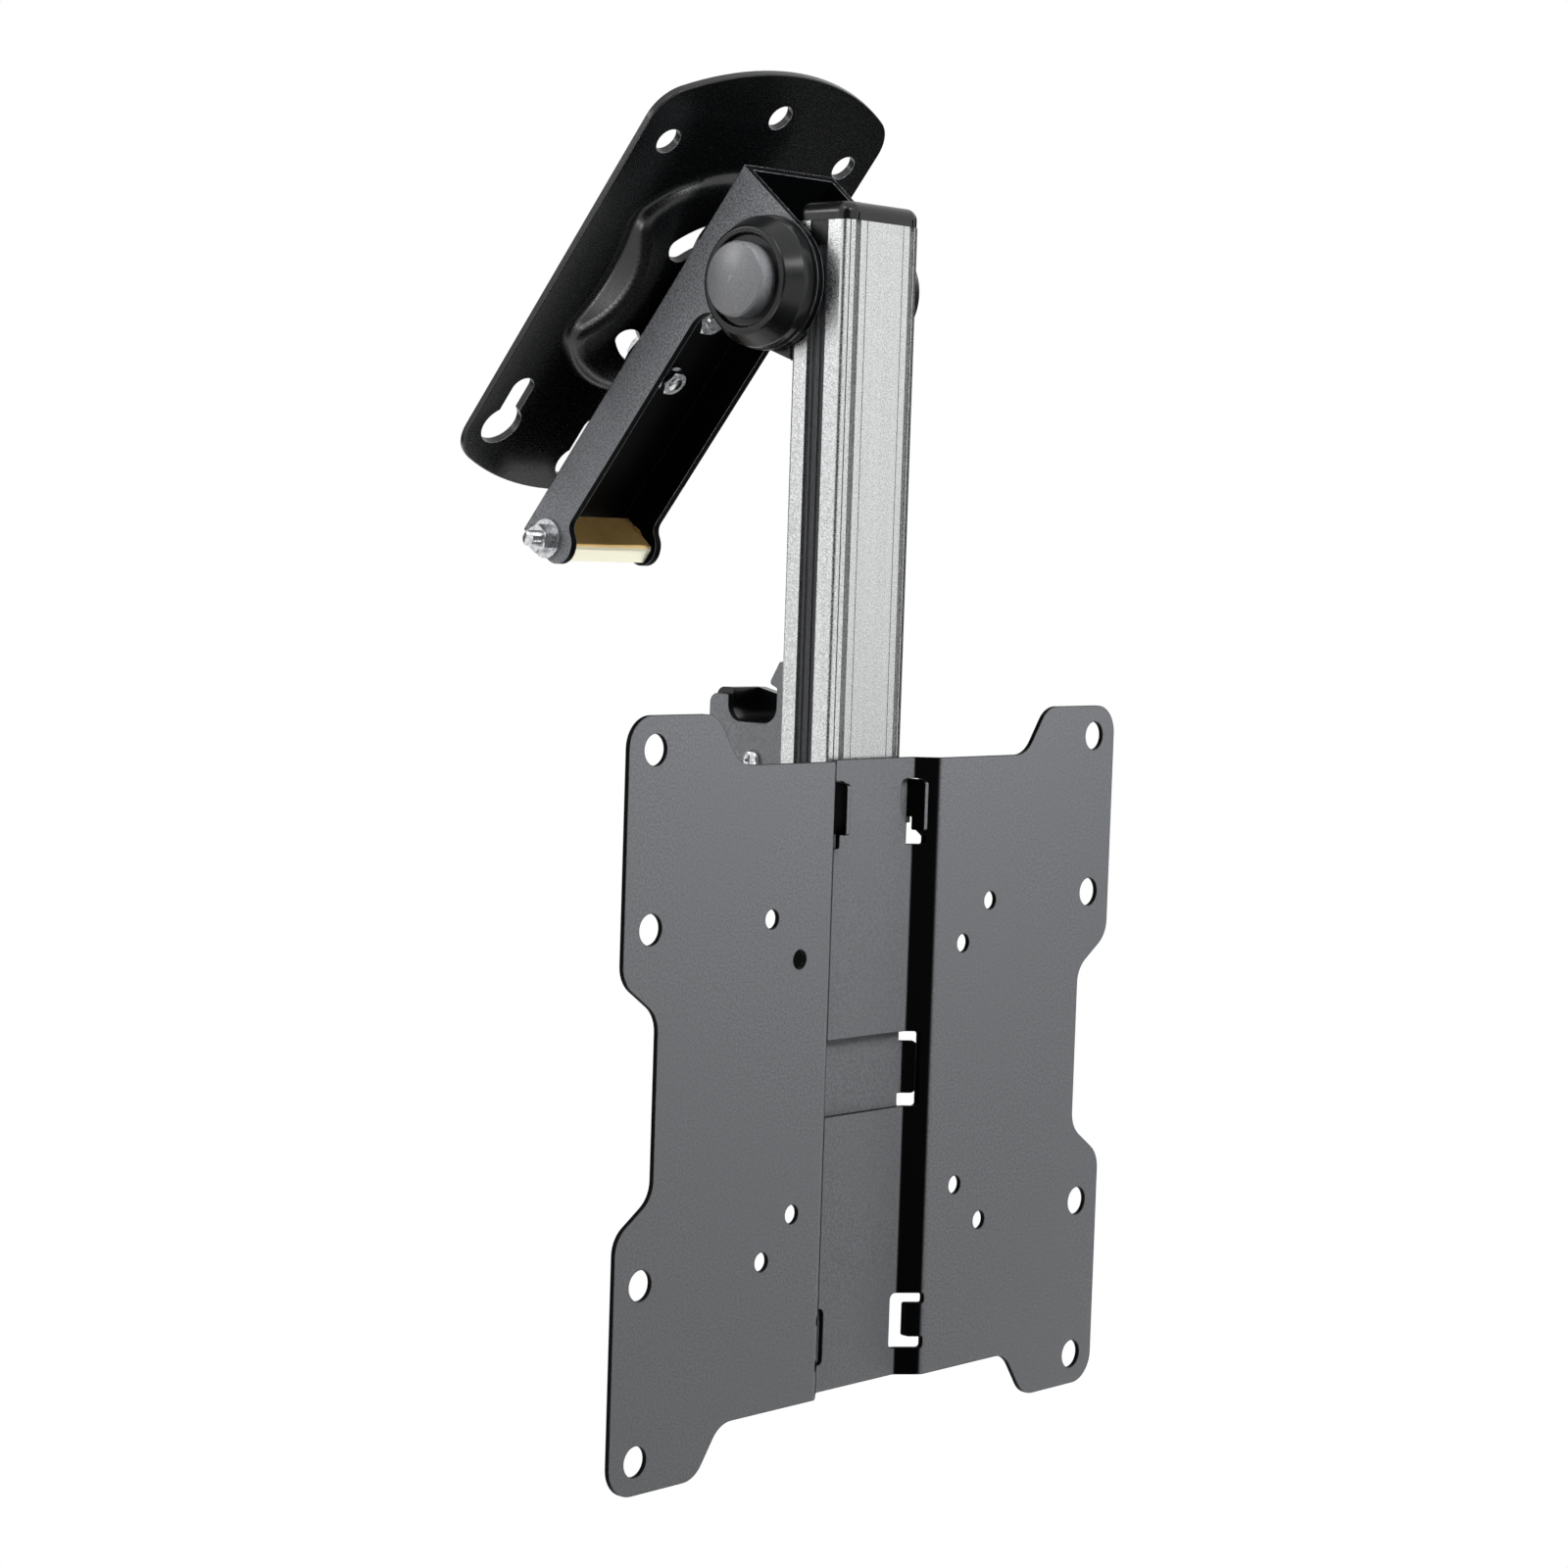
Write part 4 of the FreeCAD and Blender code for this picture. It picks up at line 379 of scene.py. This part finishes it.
def bolt_surface(origin, axis, head_flat, head_from, head_to, radius, pitch, thread_from, end):
    """A hexagon bolt. Along its axis in millimetres: the head, the plain shank and the thread up to its
    chamfered end. In the head the radius is held to the hexagon's, head_flat / 2 / cos(a - the middle of the
    nearest side), and the 30 degree chamfer meets it in the arcs seen on every bolt head. In the thread it is
    r - THREAD_DEPTH * pitch * |2 * frac(x / pitch + a / (2 pi)) - 1| * fade, which makes a real helix. The
    fade lets the thread grow over its first pitch and shrink over its last."""
    corner = head_flat / math.sqrt(3)
    chamfer_from = head_flat * CHAMFER_START
    chamfer_deep = (corner - chamfer_from) * math.tan(math.radians(30))

    def shape(x, r, a):
        flat_r = head_flat / 2 / np.cos(a % (np.pi / 3) - np.pi / 6)
        wave = np.abs((x / pitch + a / (2 * np.pi)) % 1 * 2 - 1)
        fade = np.clip((x - thread_from) / pitch, 0, 1) * np.clip((end - x) / pitch, LEAST_THREAD, 1)
        cut = r - THREAD_DEPTH * pitch * wave * fade
        return np.where(x <= head_to, np.minimum(r, np.where(r > radius, flat_r, r)), cut)

    thread = [(x, radius) for x in np.arange(thread_from, end - 0.5 * pitch, pitch / ROWS_A_TURN)]
    chamfer = [(head_from + k * chamfer_deep, chamfer_from + k * (corner - chamfer_from))
               for k in np.linspace(0, 1, CHAMFER_ROWS)]
    profile = [(head_from, 0), *chamfer, (head_to, corner), (head_to, radius), *thread,
               (end - END_CHAMFER * pitch, radius), (end, radius * END_RADIUS), (end, 0)]
    return turned_surface(profile, origin, axis, shape)


def put_piece(name, surfaces, finish, node_name, body="arm"):
    """One smooth mesh from surfaces, its creases kept sharp, in place of a CAD node."""
    points = []
    faces = []
    for some_points, some_faces in surfaces:
        faces += [tuple(i + len(points) for i in face) for face in some_faces]
        points += some_points.tolist()
    mesh = bpy.data.meshes.new(name)
    mesh.from_pydata(points, [], faces)
    mesh.polygons.foreach_set("use_smooth", [True] * len(mesh.polygons))
    mesh.set_sharp_from_angle(angle=CREASE)
    mesh.materials.append(finish)
    thing = bpy.data.objects.new(name, mesh)
    bpy.context.scene.collection.objects.link(thing)
    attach(thing, body)
    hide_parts(node_name)
    return thing


catch_bolt = bolt_surface(place_of("catch_turn"), (-1, 0, 0), head_flat=8.0, head_from=-24.7,
                          head_to=-21.3, radius=2.5, pitch=0.8, thread_from=15.0, end=29.2)
put_piece("catch_bolt_threaded", [catch_bolt], bright_zinc, "catch_bolt")
# the two lock bolts stand this far down the arm from the hinge, in millimetres
LOCK_BOLTS_DOWN = (7.6, 58.2)
hinge_place = place_of("fold")
lock_bolts = [bolt_surface(hinge_place + down * MM * down_arm, -to_ceiling, head_flat=10.0, head_from=-45.46,
                           head_to=-41.86, radius=2.5, pitch=0.8, thread_from=-34.0, end=-24.9)
              for down in LOCK_BOLTS_DOWN]
put_piece("lock_bolts_threaded", lock_bolts, bright_zinc, "lock_bolts")


# Camera

# the focal length, the place and the directions are those of the camera that was fitted to the photo
FOCAL_MM = 79.29
SENSOR_MM = 36
NEAREST_SEEN = 0.05
camera_place = Vector((-0.782667, -0.760732, -0.079004))
view_out = Vector((0.74054, 0.66839, -0.06967))
view_right = Vector((0.67134, -0.74045, 0.03227))
view_up = Vector((0.03002, 0.07067, 0.99705))
camera_data = bpy.data.cameras.new("camera")
camera_data.lens = FOCAL_MM
camera_data.sensor_width = SENSOR_MM
camera_data.sensor_height = SENSOR_MM
camera_data.sensor_fit = "AUTO"
camera_data.clip_start = NEAREST_SEEN
camera = bpy.data.objects.new("camera", camera_data)
turn = Matrix((view_right, view_up, -view_out)).transposed().to_4x4()
camera.matrix_world = Matrix.Translation(camera_place) @ turn
bpy.context.scene.collection.objects.link(camera)
bpy.context.scene.camera = camera


# Floor and light

WHITE = (1, 1, 1, 1)
FILL = 0.12                # strength of the surround as it lights the object; the camera sees 1
FLOOR_UP = -0.62           # metres, well below the part in every pose
FLOOR_HALF = 6
SPECK_MM = 3.0
CARD_GRAIN_MM = 4.0
object_middle = Vector((0, -0.06, -0.08))


def sheet_of(name, centre, half, normal_to):
    """A flat rectangle that faces along normal_to, with its half sizes in half, in metres. Its corners are
    centre + s * half[0] * across + t * half[1] * along, with s and t at -1 and 1."""
    normal_to = Vector(normal_to).normalized()
    across = normal_to.orthogonal().normalized()
    along = normal_to.cross(across)
    s, t = np.meshgrid((-1, 1), (-1, 1))
    points = (np.array(centre) + s.reshape(-1, 1) * half[0] * np.array(across)
              + t.reshape(-1, 1) * half[1] * np.array(along))
    mesh = bpy.data.meshes.new(name)
    mesh.from_pydata(points.tolist(), [], [(0, 1, 3, 2)])
    thing = bpy.data.objects.new(name, mesh)
    bpy.context.scene.collection.objects.link(thing)
    return thing


def background_white(tree, lit_shader, output_kind):
    """White of strength 1 for the camera, and for gloss and glass, over the shader that lights the object."""
    rays = tree.nodes.new("ShaderNodeLightPath")
    seen = computed(tree, "MAXIMUM", rays.outputs["Is Camera Ray"], rays.outputs["Is Glossy Ray"])
    seen = computed(tree, "MAXIMUM", seen, rays.outputs["Is Transmission Ray"])
    kind = "ShaderNodeBackground" if output_kind == "ShaderNodeOutputWorld" else "ShaderNodeEmission"
    white = add(tree, kind, Color=WHITE, Strength=1.0)
    both = add(tree, "ShaderNodeMixShader", in_0=seen, in_1=lit_shader, in_2=white.outputs[0])
    add(tree, output_kind, in_0=both.outputs[0])


world = bpy.data.worlds.new("studio")
world.use_nodes = True
world.node_tree.nodes.clear()
soft_fill = add(world.node_tree, "ShaderNodeBackground", Color=WHITE, Strength=FILL)
background_white(world.node_tree, soft_fill.outputs[0], "ShaderNodeOutputWorld")
bpy.context.scene.world = world

floor = sheet_of("floor", (0, 0, FLOOR_UP), (FLOOR_HALF, FLOOR_HALF), (0, 0, 1))
floor_paint, floor_tree, floor_coords = new_material("white_floor")
floor_speck = grain(floor_tree, floor_coords, SPECK_MM)
floor_tone = mixed(floor_tree, floor_speck, paint("#F2F2F1"), paint("#F6F6F5"))
floor_matt = add(floor_tree, "ShaderNodeBsdfDiffuse", Color=floor_tone)
background_white(floor_tree, floor_matt.outputs[0], "ShaderNodeOutputMaterial")
floor.data.materials.append(floor_paint)

# black cards, as a product photographer sets them, hidden from the camera. The one behind it gives the pole
# its dark corner lines, and the one low on the right keeps the ceiling plate, the arm's web and the dish's
# face black. The one below darkens the dish's steep side, and the one far right the right hinge cover's
# edge. The three at the back darken the rims of the hinge covers and caps.
card_paint, card_tree, card_coords = new_material("black_card")
card_grain = grain(card_tree, card_coords, CARD_GRAIN_MM)
card_tone = mixed(card_tree, card_grain, paint("#141414"), paint("#1C1C1C"))
close(card_tree, Base_Color=card_tone, Roughness=0.9)
# each card: its name, its way from the object's middle, and its distance and half sizes in metres
CARDS = (
    ("card_behind_camera", (-0.74, -0.67, 0.1), 1.5, (0.7, 0.9)),
    ("card_low_right", (0.74, -0.06, -0.60), 0.8, (0.7, 0.7)),
    ("card_below", (-0.25, -0.30, -0.92), 0.5, (0.33, 0.33)),
    ("card_right_far", (0.95, 0.30, 0.0), 1.0, (0.20, 0.5)),
    ("card_back_left", (-0.30, 0.95, 0.0), 1.0, (0.18, 0.4)),
    ("card_back_up", (-0.05, 0.67, 0.74), 1.0, (0.3, 0.3)),
    ("card_back_low", (0.08, 0.67, -0.60), 0.8, (0.25, 0.25)),
)
for card_name, card_way, card_far, card_half in CARDS:
    way = Vector(card_way).normalized()
    card = sheet_of(card_name, object_middle + way * card_far, card_half, -way)
    card.data.materials.append(card_paint)
    card.visible_camera = False
    card.visible_diffuse = False


def softbox(name, way, far, size, radiance, matt_too=True, mirrored_too=False):
    """A square area light of that radiance, far metres from the object's middle and turned to it. The broad
    boxes are kept out of the mirror images, because the white surround already fills the sheen of metal and
    coats. A strip that only draws a highlight leaves the matt share alone."""
    lamp = bpy.data.lights.new(name, "AREA")
    lamp.shape = "SQUARE"
    lamp.size = size
    lamp.energy = radiance * math.pi * size * size
    way = Vector(way).normalized()
    facing = way.to_track_quat("Z", "Y").to_matrix().to_4x4()
    box = bpy.data.objects.new(name, lamp)
    box.matrix_world = Matrix.Translation(object_middle + way * far) @ facing
    box.visible_camera = False
    box.visible_diffuse = matt_too
    box.visible_glossy = mirrored_too
    bpy.context.scene.collection.objects.link(box)


# each light: its name, its way from the object's middle, its distance and size in metres, and its radiance
BOXES = (
    ("softbox_left", (-0.80, 0.62, 0.12), 1.5, 1.0, 3.7),
    ("softbox_right", (0.55, -0.75, 0.55), 1.1, 0.8, 0.4),
    ("softbox_top", (-0.15, -0.35, 1.0), 1.5, 0.9, 1.2),
    ("softbox_near_plate_top", (0.0, -0.72, 0.69), 0.42, 0.25, 12.0),
    ("softbox_low_right", (0.74, 0.05, -0.67), 0.6, 0.45, 7.5),
)
for box in BOXES:
    softbox(*box)
# this one lights the part and draws a highlight too
softbox("strip_above_left", (-0.62, -0.20, 0.75), 1.2, 0.4, 4.0, mirrored_too=True)
# these draw highlights only
STRIPS = (
    ("strip_below", (0.36, -0.30, -0.88), 0.6, 0.07, 12.0),
    ("strip_low_left", (-0.86, -0.20, -0.46), 0.7, 0.16, 9.0),
    ("strip_beside_hinge", (-0.14, -0.80, 0.55), 0.9, 0.15, 9.0),
    ("strip_high_left", (-0.68, 0.65, 0.35), 1.2, 0.22, 6.0),
)
for strip in STRIPS:
    softbox(*strip, matt_too=False, mirrored_too=True)

bpy.context.scene.view_settings.view_transform = "Standard"
